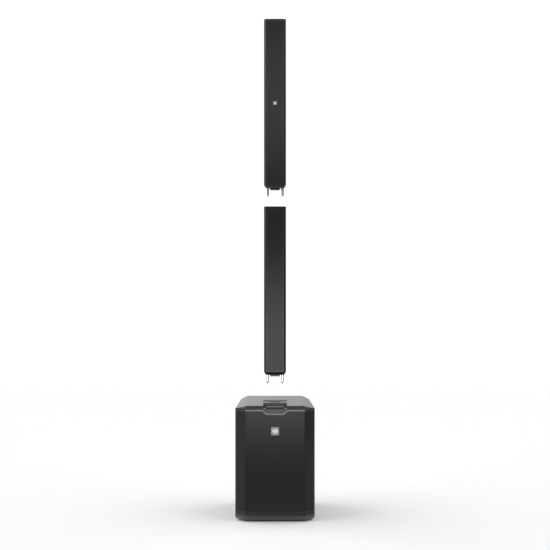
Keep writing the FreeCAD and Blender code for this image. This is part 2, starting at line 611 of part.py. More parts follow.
# ---- Columns ---------------------------------------------------------------------------------------
COL_FRONT = COL_Y - COL_DEPTH / 2
COL_REAR = COL_Y + COL_DEPTH / 2
COL_HALF_PLAN = [(COL_FRONT_HALF, COL_FRONT), (COL_WIDTH / 2, COL_FRONT + COL_CHAMFER[1]),
                 (COL_WIDTH / 2, COL_REAR - 12), (COL_WIDTH / 2 - 5, COL_REAR - 4), (COL_WIDTH / 2 - 13, COL_REAR)]
COL_PLAN = both_sides(COL_HALF_PLAN)
GRILLE_HALF = COL_FRONT_HALF - 1.0
RECESS_HALF = 49.5
RECESS_Y = (COL_FRONT + 4.5, COL_REAR - 4.5)
MID_FACE = COL_FRONT + 13.0        # front of the column's baffle


def column_housing(z):
    """Extruded shell of a column, open at both ends and along the front."""
    z0, z1 = z + NOSE, z + COL_LENGTH - CAP
    shell = prism(COL_PLAN, z0, z1).cut(prism(COL_PLAN, z0, z1, WALL))
    mouth = box(-COL_FRONT_HALF + 0.6, COL_FRONT_HALF - 0.6, COL_FRONT - 1, COL_FRONT + WALL + 1, z0, z1)
    rails = [box(s * 45.5 - 1.5, s * 45.5 + 1.5, MID_FACE + 6.1, MID_FACE + 8.6, z0, z1) for s in (-1, 1)]
    joined = [box(min(s * 45, s * 52.5), max(s * 45, s * 52.5), MID_FACE + 6.1, MID_FACE + 8.6, z0, z1) for s in (-1, 1)]
    return union([shell.cut(mouth)] + rails + joined)


def column_grille(z):
    """Perforated steel strip along the front of a column."""
    z0, z1 = z + NOSE + 1, z + COL_LENGTH - CAP - 1
    face = box(-GRILLE_HALF, GRILLE_HALF, COL_FRONT, COL_FRONT + 1.2, z0, z1)
    lips = [box(min(s * GRILLE_HALF, s * (GRILLE_HALF - 1.2)), max(s * GRILLE_HALF, s * (GRILLE_HALF - 1.2)),
                COL_FRONT, COL_FRONT + 10, z0, z1) for s in (-1, 1)]
    return union([face] + lips)


def mid_places(z, horn):
    """Heights of a column's drivers, with a gap in the middle where it carries a horn."""
    middle = z + (NOSE + COL_LENGTH - CAP) / 2
    pitch = MID_PITCH if horn else MID_PITCH + 5
    spread = HORN_HEIGHT / 2 if horn else 0.0
    return [middle + side * (spread + pitch * (k + 0.5)) for side in (-1, 1) for k in range(MID_COUNT // 2)]


def column_baffle(z, horn):
    """Board that carries a column's drivers."""
    z0, z1 = z + NOSE + 2, z + COL_LENGTH - CAP - 2
    board = box(-47.5, 47.5, MID_FACE, MID_FACE + 6, z0, z1)
    holes = [rod(36.5, (0, MID_FACE - 1, h), (0, MID_FACE + 7, h)) for h in mid_places(z, horn)]
    if horn:
        middle = z + (NOSE + COL_LENGTH - CAP) / 2
        holes.append(box(-34, 34, MID_FACE - 1, MID_FACE + 7, middle - 38, middle + 38))
    return board.cut(holes)


def mid_frame(h):
    """Chassis and magnet of one column driver."""
    y = MID_FACE
    frame = turned([(MID_RADIUS, y - 2.5), (MID_RADIUS, y), (36, y), (22, y + 22), (22, y + 26), (18, y + 26), (18, y + 21),
                    (33.5, y - 0.5), (33.5, y - 2.5)], 0, h)
    magnet = turned([(24, y + 26), (24, y + 42), (5, y + 42), (5, y + 24), (9.5, y + 24), (9.5, y + 36), (13, y + 36),
                     (13, y + 26)], 0, h)
    return [frame, magnet]


def mid_frames(z, horn):
    return group([s for h in mid_places(z, horn) for s in mid_frame(h)])


def mid_cones(z, horn):
    """Moving cones of a column, all driven by the same signal."""
    y = MID_FACE
    cones = []
    for h in mid_places(z, horn):
        cone = turned([(0, y + 3), (9, y + 5), (12, y + 9.5), (28.5, y - 1.2), (28.5, y - 2), (27, y - 2), (12, y + 7.5),
                       (9.5, y + 4), (0, y + 1.8)], 0, h)
        cones.append(cone.fuse(tube(11.6, 10.9, (0, y + 7, h), (0, y + 30, h))))
    return group(cones)


def mid_surrounds(z, horn):
    """Rubber edges of a column's cones."""
    return group([half_roll(28.9, 38.0, MID_FACE - 3.2, 2.6, 0.7, 0, h) for h in mid_places(z, horn)])


def column_top_cap(z, seat):
    """Moulded cap; on the lower column it is the seat for the upper one."""
    z1 = z + COL_LENGTH
    cap = prism(COL_PLAN, z1 - CAP, z1)
    top = [e for e in cap.Edges if all(abs(v.Z - z1) < 0.01 for v in e.Vertexes)]
    cap = cap.makeChamfer(1.0, top)
    if not seat:
        return cap.cut(prism(COL_PLAN, z1 - CAP, z1 - 4, 6))
    floor = z1 - SEAT_DEPTH
    body = box(-48, 48, COL_Y - 20, COL_Y + 20, floor - 54, z1 - CAP + 1)
    recess = box(-RECESS_HALF, RECESS_HALF, *RECESS_Y, floor, z1 + 1)
    recess = softened(recess, 5, lambda e: abs(e.Vertexes[0].Z - e.Vertexes[-1].Z) > 1)
    wells = [rod(PIN_RADIUS + 2.5, (x, COL_Y, floor - 50), (x, COL_Y, z1)) for x in (-PIN_X, PIN_X)]
    block = box(-26.8, 26.8, COL_Y - 16, COL_Y + 16, floor - 22, z1)
    return union([cap, body]).cut([recess, block] + wells)


def column_nose(z):
    """Tapered moulded end that drops into the seat, with sockets for the guide pins."""
    low = face_of(COL_PLAN, z).makeOffset2D(-NOSE_INSET, 2, False, False, False)
    wires = [Part.Wire(Part.__sortEdges__(low.OuterWire.Edges)), face_of(COL_PLAN, z + NOSE).OuterWire]
    nose = Part.makeLoft(wires, True, True)
    wells = [rod(PIN_RADIUS, (x, COL_Y, z - 1), (x, COL_Y, z + 40)) for x in (-PIN_X, PIN_X)]
    spigot = box(-47, 47, COL_Y - 22, COL_Y + 22, z + NOSE - 0.5, z + 30)
    block = box(-PLUG[0] / 2, PLUG[0] / 2, COL_Y - PLUG[1] / 2, COL_Y + PLUG[1] / 2, z - 1, z + 12)
    return union([nose, spigot]).cut(wells + [block])


def guide_pins(z):
    """Two ground steel pins with rounded, tapered tips."""
    pins = []
    for x in (-PIN_X, PIN_X):
        tip = z - PIN_REACH
        pin = rod(PIN_RADIUS, (x, COL_Y, tip + 7), (x, COL_Y, z + 30))
        cone = Part.makeCone(PIN_RADIUS - 3.0, PIN_RADIUS, 7, V(x, COL_Y, tip), V(0, 0, 1))
        pin = pin.fuse(cone)
        pins.append(softened(pin, 1.4, lambda e: e.BoundBox.ZMax < tip + 0.01))
    return group(pins)


def multipole_plug(z):
    """Plug block between the guide pins, with eight contacts."""
    wide, deep, high = PLUG
    block = box(-wide / 2, wide / 2, COL_Y - deep / 2, COL_Y + deep / 2, z - high, z + 12)
    block = softened(block, 2, lambda e: e.BoundBox.ZMax < z - high + 0.01)
    wells = [rod(3.0, (x, y, z - high - 1), (x, y, z)) for x, y in contact_places()]
    pins = [rod(1.3, (x, y, z - high + 1.0), (x, y, z + 1)) for x, y in contact_places()]
    return block.cut(wells).fuse(pins)


def tweeter_horn():
    """Waveguide in the middle of the upper column, with its compression driver behind it."""
    middle = UPPER_Z + (NOSE + COL_LENGTH - CAP) / 2
    y = MID_FACE
    plate = box(-41, 41, y - 2.5, y, middle - 44, middle + 44)
    body = box(-33.5, 33.5, y, y + 24, middle - 37.5, middle + 37.5)
    horn = Part.makeLoft([Part.makePolygon([V(x, y + d, middle + h) for x, h in
                                            ((-w, -t), (w, -t), (w, t), (-w, t), (-w, -t))])
                          for d, w, t in ((-2.6, 32, 35), (24.1, 11, 11))], True, True)
    return union([plate, body]).cut(horn)


def tweeter_driver():
    middle = UPPER_Z + (NOSE + COL_LENGTH - CAP) / 2
    y = MID_FACE + 24
    return tube(26, 10, (0, y, middle), (0, y + 8, middle)).fuse(rod(26, (0, y + 8, middle), (0, y + 26, middle)))


def column_badge():
    """Small square badge in the middle of the upper column."""
    middle = UPPER_Z + COL_LENGTH / 2
    half, thick = 9.0, 1.2
    plate = box(-half, half, COL_FRONT - thick, COL_FRONT, middle - half, middle + half)
    plate = softened(plate, 3, lambda e: abs(e.Vertexes[0].Y - e.Vertexes[-1].Y) > thick / 2)
    bars = [box(x - 1.3, x + 1.3, COL_FRONT - thick - 0.4, COL_FRONT - thick, middle - h, middle + h)
            for x, h in ((-4.3, 2.4), (0.0, 5.2), (4.3, 3.6))]
    return union([plate] + bars)


# ---- Nodes -----------------------------------------------------------------------------------------
NODES = {
    "cabinet_box": cabinet_box,
    "base_tray": base_tray,
    "rubber_feet": rubber_feet,
    "foot_screws": foot_screws,
    "front_baffle": front_baffle,
    "port_tubes": port_tubes,
    "front_grille": front_grille,
    "grille_foam": grille_foam,
    "cabinet_badge": cabinet_badge,
    "top_cover": top_cover,
    "seat_bushes": lambda: guide_bushes(CAB_TOP - SEAT_DEPTH),
    "seat_socket": lambda: multipole_socket(CAB_TOP - SEAT_DEPTH),
    "woofer_frame": woofer_frame,
    "woofer_motor": woofer_motor,
    "woofer_surround": woofer_surround,
    "woofer_cone": woofer_cone,
    "amp_panel": amp_panel,
    "panel_screws": panel_screws,
    "heatsink": heatsink,
    "display_window": display_window,
    "combo_sockets": combo_sockets,
    "latch_tab_left": lambda: latch_tab(COMBO_XS[0]),
    "latch_tab_right": lambda: latch_tab(COMBO_XS[1]),
    "link_socket": link_socket,
    "phono_sockets": phono_sockets,
    "mains_inlet": mains_inlet,
    "power_rocker": power_rocker,
    "knob_channel_1": lambda: control_knob(KNOB_XS[0], KNOB_Z),
    "knob_channel_2": lambda: control_knob(KNOB_XS[1], KNOB_Z),
    "knob_line": lambda: control_knob(KNOB_XS[2], KNOB_Z),
    "knob_sub_level": lambda: control_knob(KNOB_XS[3], KNOB_Z),
    "menu_encoder": lambda: control_knob(*ENCODER, radius=14.0),
    "button_pair": lambda: push_button(*BUTTON_XZ[0]),
    "button_mode": lambda: push_button(*BUTTON_XZ[1]),
    "amp_board": amp_board,
    "column_seat_bushes": lambda: guide_bushes(LOWER_Z + COL_LENGTH - SEAT_DEPTH),
    "column_seat_socket": lambda: multipole_socket(LOWER_Z + COL_LENGTH - SEAT_DEPTH),
    "tweeter_horn": tweeter_horn,
    "tweeter_driver": tweeter_driver,
    "column_badge": column_badge,
}
for side, z, horn in (("lower", LOWER_Z, False), ("upper", UPPER_Z, True)):
    NODES.update({
        f"{side}_housing": lambda z=z: column_housing(z),
        f"{side}_grille": lambda z=z: column_grille(z),
        f"{side}_baffle": lambda z=z, horn=horn: column_baffle(z, horn),
        f"{side}_top_cap": lambda z=z, horn=horn: column_top_cap(z, not horn),
        f"{side}_nose": lambda z=z: column_nose(z),
        f"{side}_guide_pins": lambda z=z: guide_pins(z),
        f"{side}_plug": lambda z=z: multipole_plug(z),
        f"{side}_driver_frames": lambda z=z, horn=horn: mid_frames(z, horn),
        f"{side}_surrounds": lambda z=z, horn=horn: mid_surrounds(z, horn),
        f"{side}_cones": lambda z=z, horn=horn: mid_cones(z, horn),
    })

if __name__ == "__main__":
    os.makedirs("parts", exist_ok=True)
    for name, make in NODES.items():
        shape = make()
        if not shape.isValid() or any(s.Volume <= 0 for s in shape.Solids) or not shape.Solids:
            print("CHECK", name, shape.isValid(), len(shape.Solids))
        shape.exportStep(f"parts/{name}.step")
    print(len(NODES), "nodes")
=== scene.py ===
"""Column PA system: the looks of a bass cabinet and its two columns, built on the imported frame."""

import math

import bmesh
import bpy
from mathutils import Matrix, Vector


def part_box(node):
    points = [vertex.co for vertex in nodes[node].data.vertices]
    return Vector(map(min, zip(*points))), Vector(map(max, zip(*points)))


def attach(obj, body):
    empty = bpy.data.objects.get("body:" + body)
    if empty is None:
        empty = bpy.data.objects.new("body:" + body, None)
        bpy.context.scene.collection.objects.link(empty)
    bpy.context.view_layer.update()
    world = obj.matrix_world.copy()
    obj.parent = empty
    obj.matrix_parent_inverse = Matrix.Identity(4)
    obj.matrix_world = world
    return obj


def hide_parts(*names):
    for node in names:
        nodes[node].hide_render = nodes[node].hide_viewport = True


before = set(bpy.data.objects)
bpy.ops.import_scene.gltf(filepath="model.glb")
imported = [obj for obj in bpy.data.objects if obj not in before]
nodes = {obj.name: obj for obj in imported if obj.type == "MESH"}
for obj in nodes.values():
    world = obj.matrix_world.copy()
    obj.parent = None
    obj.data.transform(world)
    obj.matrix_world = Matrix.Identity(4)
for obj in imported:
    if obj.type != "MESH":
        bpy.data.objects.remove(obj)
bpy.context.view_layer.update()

MM = 0.001


# ==== Camera ===========================================================================================
# A level studio camera at chest height, five and a half metres in front of the cabinet, with a short
# telephoto lens.
CAMERA_AT = (0.0, -5.47, 1.173)
LENS_MM = 72.33

camera_data = bpy.data.cameras.new("camera")
camera_data.lens = LENS_MM
camera_data.sensor_width = 36.0
camera_data.clip_end = 100.0
camera = bpy.data.objects.new("camera", camera_data)
camera.location = CAMERA_AT
camera.rotation_euler = (math.radians(90), 0, 0)
bpy.context.scene.collection.objects.link(camera)
bpy.context.scene.camera = camera


# ==== Studio ===========================================================================================
# A white paper floor in a room that is bright behind the object and dim behind the camera, so that the
# black fronts stay black. Broad banks at both sides cast the wide soft shadow, a small one overhead lights
# the top cover's bevel, and two gridded soft boxes in front put a long sheen on the columns.
FLOOR_WHITE = "#f4f4f4"
FLOOR_FRONT, FLOOR_BACK, FLOOR_SIDE = -1.0, 6.0, 4.0
BACKDROP_LEVEL = 1.1          # as the camera sees it
BACKDROP_AT = (0.0, 0.97, -0.25)
LEFT_LEAN = (-0.9, 0.0, 0.0)  # the room is brighter on the left
ROOM_DIM, ROOM_BRIGHT = 0.22, 1.1
DIM_UNTIL, BRIGHT_FROM = 0.1, 0.9
BANKS = {                     # from, strength, spread in degrees
    "left_bank": ((-1.0, 0.0, 0.80), 1.77, 70),
    "right_bank": ((1.0, 0.0, 1.0), 1.64, 70),
    "top_bank": ((0.0, 0.165, 1.0), 0.15, 24),
}
SOFT_BOXES = {                # place, aim, size, power
    "low_box": ((0.0, -1.5, 0.69), (0.0, 0.0, 0.97), (1.0, 0.76), 3.15),
    "high_box": ((0.0, -1.5, 2.26), (0.0, 0.0, 2.25), (1.0, 0.8), 1.65),
}
GRID = 90                     # degrees of spread that a soft box's grid lets through


def linear(code):
    """An sRGB hex colour as linear RGBA."""
    parts = [int(code[k:k + 2], 16) / 255 for k in (1, 3, 5)]
    return tuple(c / 12.92 if c <= 0.04045 else ((c + 0.055) / 1.055) ** 2.4 for c in parts) + (1.0,)


def add(tree, kind, props=None, **inputs):
    """Adds a node. props are its settings; inputs are values or sockets, by socket name or _number."""
    made = tree.nodes.new("ShaderNode" + kind)
    for key, value in (props or {}).items():
        setattr(made, key, value)
    for key, value in inputs.items():
        socket = made.inputs[int(key[1:])] if key[0] == "_" else made.inputs[key.replace("_", " ")]
        if isinstance(value, bpy.types.NodeSocket):
            tree.links.new(value, socket)
        else:
            socket.default_value = value
    return made


def material(name, **shader):
    """A new material with a Principled shader set as given. Returns the material, its tree and the shader."""
    made = bpy.data.materials.new(name)
    made.use_nodes = True
    tree = made.node_tree
    tree.nodes.clear()
    surface = add(tree, "BsdfPrincipled", **shader)
    out = tree.nodes.new("ShaderNodeOutputMaterial")
    tree.links.new(surface.outputs[0], out.inputs[0])
    return made, tree, surface


def piece(name, mesh, body, finish, replaces=(), smooth=True):
    """Links a mesh as a piece of the object, riding on a CAD body."""
    obj = bpy.data.objects.new(name, mesh)
    bpy.context.scene.collection.objects.link(obj)
    mesh.materials.append(finish)
    for polygon in mesh.polygons:
        polygon.use_smooth = smooth
    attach(obj, body)
    if replaces:
        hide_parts(*replaces)
    return obj


world = bpy.data.worlds.new("studio")
world.use_nodes = True
bpy.context.scene.world = world
tree = world.node_tree
heading = add(tree, "TexCoord").outputs["Generated"]
away = add(tree, "VectorMath", {"operation": "DOT_PRODUCT"}, _0=heading, _1=BACKDROP_AT).outputs["Value"]
room = add(tree, "MapRange", Value=away, From_Min=DIM_UNTIL, From_Max=BRIGHT_FROM, To_Min=ROOM_DIM,
           To_Max=ROOM_BRIGHT)
lean = add(tree, "VectorMath", {"operation": "DOT_PRODUCT"}, _0=heading, _1=LEFT_LEAN).outputs["Value"]
lean = add(tree, "Math", {"operation": "ADD"}, _0=lean, _1=1.0)
room = add(tree, "Math", {"operation": "MULTIPLY"}, _0=room.outputs[0], _1=lean.outputs[0])
seen = add(tree, "LightPath").outputs["Is Camera Ray"]
level = add(tree, "MapRange", Value=seen, To_Max=BACKDROP_LEVEL)
tree.links.new(room.outputs[0], level.inputs["To Min"])
tree.nodes["Background"].inputs["Color"].default_value = linear("#ffffff")
tree.links.new(level.outputs[0], tree.nodes["Background"].inputs["Strength"])
bpy.context.scene.view_settings.view_transform = "Standard"

floor_white, _, _ = material("studio_white", Base_Color=linear(FLOOR_WHITE), Roughness=0.95,
                             Specular_IOR_Level=0.0)
floor_mesh = bpy.data.meshes.new("studio_floor")
floor_mesh.from_pydata([(-FLOOR_SIDE, FLOOR_FRONT, 0.0), (FLOOR_SIDE, FLOOR_FRONT, 0.0),
                        (FLOOR_SIDE, FLOOR_BACK, 0.0), (-FLOOR_SIDE, FLOOR_BACK, 0.0)], [], [(0, 1, 2, 3)])
floor_mesh.materials.append(floor_white)
floor = bpy.data.objects.new("studio_floor", floor_mesh)
bpy.context.scene.collection.objects.link(floor)

for name, (source, strength, spread) in BANKS.items():
    light = bpy.data.lights.new(name, "SUN")
    light.energy = strength
    light.angle = math.radians(spread)
    lamp = bpy.data.objects.new(name, light)
    lamp.rotation_euler = (-Vector(source)).to_track_quat("-Z", "Y").to_euler()
    bpy.context.scene.collection.objects.link(lamp)

for name, (place, aim, size, power) in SOFT_BOXES.items():
    light = bpy.data.lights.new(name, "AREA")
    light.shape = "RECTANGLE"
    light.size, light.size_y = size
    light.energy = power
    light.spread = math.radians(GRID)
    lamp = bpy.data.objects.new(name, light)
    lamp.location = place
    lamp.rotation_euler = (Vector(aim) - Vector(place)).to_track_quat("-Z", "Y").to_euler()
    lamp.visible_camera = False
    bpy.context.scene.collection.objects.link(lamp)


# ==== Cabinet box ======================================================================================
# Birch plywood boards glued into a tapering box, rounded over with a router and sprayed with black
# two-part polyurea. The paint dries to a hard orange-peel grain whose crests are painted paler, a painted
# highlight for their shine.
PAINT_DARK, PAINT_CREST_HIGHLIGHT = "#171718", "#242425"
PAINT_GRAIN = 3.2 * MM        # real grain is 1 to 2 mm; drawn coarser so that it shows
PAINT_DRIFT = 90 * MM         # the spray gun's passes
WELD_GAP, FLAT_WITHIN = 0.02 * MM, 0.6


def soften(node, finish, radius, segments=3, angle=32.0):
    """Rounds a CAD node's edges sharper than angle degrees, keeps its flats flat and gives it its finish."""
    obj = nodes[node]
    for polygon in obj.data.polygons:
        polygon.use_smooth = True
    weld = obj.modifiers.new("weld", "WELD")
    weld.merge_threshold = WELD_GAP
    flat = obj.modifiers.new("flat", "DECIMATE")
    flat.decimate_type = "DISSOLVE"
    flat.angle_limit = math.radians(FLAT_WITHIN)
    round_over = obj.modifiers.new("round_over", "BEVEL")
    round_over.width = radius
    round_over.segments = segments
    round_over.limit_method = "ANGLE"
    round_over.angle_limit = math.radians(angle)
    round_over.use_clamp_overlap = True
    level = obj.modifiers.new("level", "WEIGHTED_NORMAL")
    level.mode = "FACE_AREA"
    level.weight = 100
    coat(node, finish)


def coat(node, finish):
    """Gives a CAD node its finish and leaves its edges as they are."""
    nodes[node].data.materials.clear()
    nodes[node].data.materials.append(finish)


def dress(tree, surface, **patterns):
    """Links pattern nodes to the shader's sockets, by socket name."""
    for socket, pattern in patterns.items():
        tree.links.new(pattern.outputs[0], surface.inputs[socket.replace("_", " ")])


painted_wood, tree, surface = material("sprayed_polyurea", IOR=1.5, Metallic=0.0)
where = add(tree, "TexCoord").outputs["Object"]
grain = add(tree, "TexNoise", Vector=where, Scale=1 / PAINT_GRAIN, Detail=3.0, Roughness=0.6)
drift = add(tree, "TexNoise", Vector=where, Scale=1 / PAINT_DRIFT, Detail=2.0)
# the paler tone on the grain's crests is a painted highlight
tone = add(tree, "MixRGB", _0=grain.outputs["Fac"], _1=linear(PAINT_DARK), _2=linear(PAINT_CREST_HIGHLIGHT))
sheen = add(tree, "MapRange", Value=drift.outputs["Fac"], To_Min=0.50, To_Max=0.62)
relief = add(tree, "Bump", Height=grain.outputs["Fac"], Strength=0.35, Distance=0.35 * MM)
dress(tree, surface, Base_Color=tone, Roughness=sheen, Normal=relief)

soften("cabinet_box", painted_wood, 2.5 * MM)


# ==== Moulded ABS: base, top cover, column caps and noses ==============================================
# Injection-moulded black ABS, etched in the tool with a fine leather grain. Its skin is satin, so that
# at a flat angle it takes the light of the room, and its corners are round enough for a tool to fill.
ABS_DARK, ABS_PALE = "#131315", "#1d1d1f"
LEATHER_CELL = 2.4 * MM       # real cells are 0.6 mm; drawn coarser so that they show
LEATHER_BUMP, LEATHER_DEPTH = 0.18, 0.2 * MM
FLOW_MARK = 70 * MM           # where the melt met, slightly duller

leather_abs, tree, surface = material("moulded_leather_abs", IOR=1.5, Metallic=0.0, Specular_IOR_Level=0.4)
where = add(tree, "TexCoord").outputs["Object"]
cells = add(tree, "TexVoronoi", {"feature": "SMOOTH_F1"}, Vector=where, Scale=1 / LEATHER_CELL)
drift = add(tree, "TexNoise", Vector=where, Scale=1 / FLOW_MARK, Detail=3.0)
tone = add(tree, "MixRGB", _0=drift.outputs["Fac"], _1=linear(ABS_DARK), _2=linear(ABS_PALE))
sheen = add(tree, "MapRange", Value=drift.outputs["Fac"], To_Min=0.25, To_Max=0.33)
relief = add(tree, "Bump", Height=cells.outputs["Distance"], Strength=LEATHER_BUMP, Distance=LEATHER_DEPTH)
dress(tree, surface, Base_Color=tone, Roughness=sheen, Normal=relief)

# The base's front curls under, and towards the foot line it is painted paler in patches: a painted reflection
# of the white floor in front of it.
BASE_ABS_DARK, PAINTED_FLOOR_GLOW = "#0e0e10", "#5e5e60"
GLOW_FROM_HEIGHT, GLOW_TO_HEIGHT = 38 * MM, 11 * MM
GLOW_PATCH = 16 * MM

abs_painted_floor_glow, tree, surface = material("leather_abs_painted_floor_glow", IOR=1.5, Metallic=0.0, Specular_IOR_Level=0.4)
where = add(tree, "TexCoord").outputs["Object"]
cells = add(tree, "TexVoronoi", {"feature": "SMOOTH_F1"}, Vector=where, Scale=1 / LEATHER_CELL)
glow_patch = add(tree, "TexNoise", Vector=where, Scale=1 / GLOW_PATCH, Detail=4.0)
# The pale tone low down is a painted reflection of the floor, not wear.
height = add(tree, "SeparateXYZ", Vector=where)
low_down = add(tree, "MapRange", Value=height.outputs["Z"], From_Min=GLOW_FROM_HEIGHT, From_Max=GLOW_TO_HEIGHT)
patchy = add(tree, "MapRange", Value=glow_patch.outputs["Fac"], From_Min=0.3, From_Max=0.6, To_Min=0.75)
painted_glow = add(tree, "Math", {"operation": "MULTIPLY"}, _0=low_down.outputs[0], _1=patchy.outputs[0])
tone = add(tree, "MixRGB", _0=painted_glow.outputs[0], _1=linear(BASE_ABS_DARK), _2=linear(PAINTED_FLOOR_GLOW))
sheen = add(tree, "MapRange", Value=painted_glow.outputs[0], To_Min=0.42, To_Max=0.3)
relief = add(tree, "Bump", Height=cells.outputs["Distance"], Strength=LEATHER_BUMP, Distance=LEATHER_DEPTH)
dress(tree, surface, Base_Color=tone, Roughness=sheen, Normal=relief)

soften("base_tray", abs_painted_floor_glow, 2.5 * MM)
soften("top_cover", leather_abs, 2.2 * MM, angle=12.0)
for node in ("lower_top_cap", "upper_top_cap", "lower_nose", "upper_nose"):
    soften(node, leather_abs, 0.9 * MM)

# The walls of the hand pocket are left with the tool's spark-eroded grain and painted pale grey, painted
# light for the light they catch inside the recess.
POCKET_LOW, POCKET_HIGH = (-57.6 * MM, -198.1 * MM, 489.0 * MM), (57.6 * MM, -81.9 * MM, 549.5 * MM)
POCKET_PAINTED_LIGHT_DARK, POCKET_PAINTED_LIGHT_PALE = "#4a4a4d", "#68686b"
SPARK_PIT = 2 * MM            # real pits are 0.2 mm; drawn coarser so that they show
ON_THE_LINE = 0.001 * MM


def finish_faces(node, finish, low, high):
    """Gives the faces of a CAD node that lie in a box a finish of their own."""
    obj = nodes[node]
    obj.data.materials.append(finish)
    index = len(obj.data.materials) - 1
    for polygon in obj.data.polygons:
        if all(a - ON_THE_LINE <= c <= b + ON_THE_LINE for a, c, b in zip(low, polygon.center, high)):
            polygon.material_index = index


def speckled(name, grain, detail=2.0, tones=None, gloss=None, relief=None, warp=0.0, lit=0.0, **shader):
    """A finish whose colour, gloss and relief follow one fine noise. grain is the size of its mottling,
    coarser than the real one where that is too fine to show. tones are its dark and pale colour, gloss its
    roughness range, relief its strength and depth, and lit is how far the colour gives its own light."""
    made, tree, surface = material(name, **shader)
    where = add(tree, "TexCoord").outputs["Object"]
    grit = add(tree, "TexNoise", Vector=where, Scale=1 / grain, Detail=detail, Distortion=warp).outputs["Fac"]
    if tones:
        tone = add(tree, "MixRGB", _0=grit, _1=linear(tones[0]), _2=linear(tones[1]))
        tree.links.new(tone.outputs[0], surface.inputs["Emission Color" if lit else "Base Color"])
    if lit:
        surface.inputs["Emission Strength"].default_value = lit
    if gloss:
        dress(tree, surface, Roughness=add(tree, "MapRange", Value=grit, To_Min=gloss[0], To_Max=gloss[1]))
    if relief:
        dress(tree, surface, Normal=add(tree, "Bump", Height=grit, Strength=relief[0], Distance=relief[1]))
    return made


spark_grain_painted_light_abs = speckled("spark_grained_abs_painted_light", SPARK_PIT, 3.0, (POCKET_PAINTED_LIGHT_DARK, POCKET_PAINTED_LIGHT_PALE),
                       relief=(0.2, 0.2 * MM), IOR=1.5, Metallic=0.0, Roughness=0.6)
# The pocket walls' pale grey is painted light.
finish_faces("top_cover", spark_grain_painted_light_abs, POCKET_LOW, POCKET_HIGH)


# ==== Feet =============================================================================================
# Four moulded feet of carbon-filled rubber, each held by a pan-head screw deep in its middle. The rubber
# is dead matt under a film of dust, and the screws' black oxide lets some bare steel glint through.
RUBBER, RUBBER_DUST = "#151515", "#1f1f1e"
BLACK_OXIDE = "#2a2a2d"

foot_rubber = speckled("moulded_rubber", 6 * MM, 4.0, tones=(RUBBER, RUBBER_DUST), relief=(0.2, 0.15 * MM),
                       IOR=1.52, Metallic=0.0, Roughness=0.82)

black_screw = speckled("blackened_steel", 2 * MM, gloss=(0.28, 0.5), Metallic=1.0,
                       Base_Color=linear(BLACK_OXIDE))

soften("rubber_feet", foot_rubber, 0.8 * MM)
coat("foot_screws", black_screw)
coat("panel_screws", black_screw)


# ==== Perforated steel: the cabinet's front and the columns' fronts ====================================
# Cold-rolled steel, punched in a staggered pattern, folded on a press brake and coated with black
# powder, which dries to a low, even gloss with a fine pimple. The rims are left unpunched, and the folds
# have the radius of the brake's tool. Real holes are about 3 mm apart; both pitches are drawn coarser.
POWDER_DARK, POWDER_PALE = "#0e0e0f", "#18181a"
POWDER_PIMPLE = 1.6 * MM      # really 0.3 mm; drawn coarser so that it shows
ROW_STEP = 0.866              # row spacing of a staggered pattern, in pitches
HOLE_CORNERS = (30, 90, 150, 210, 270, 330)
NEAR_BELOW, NEAR_ASIDE = 12 * MM, 20 * MM   # how far round a notch the sheet is cut


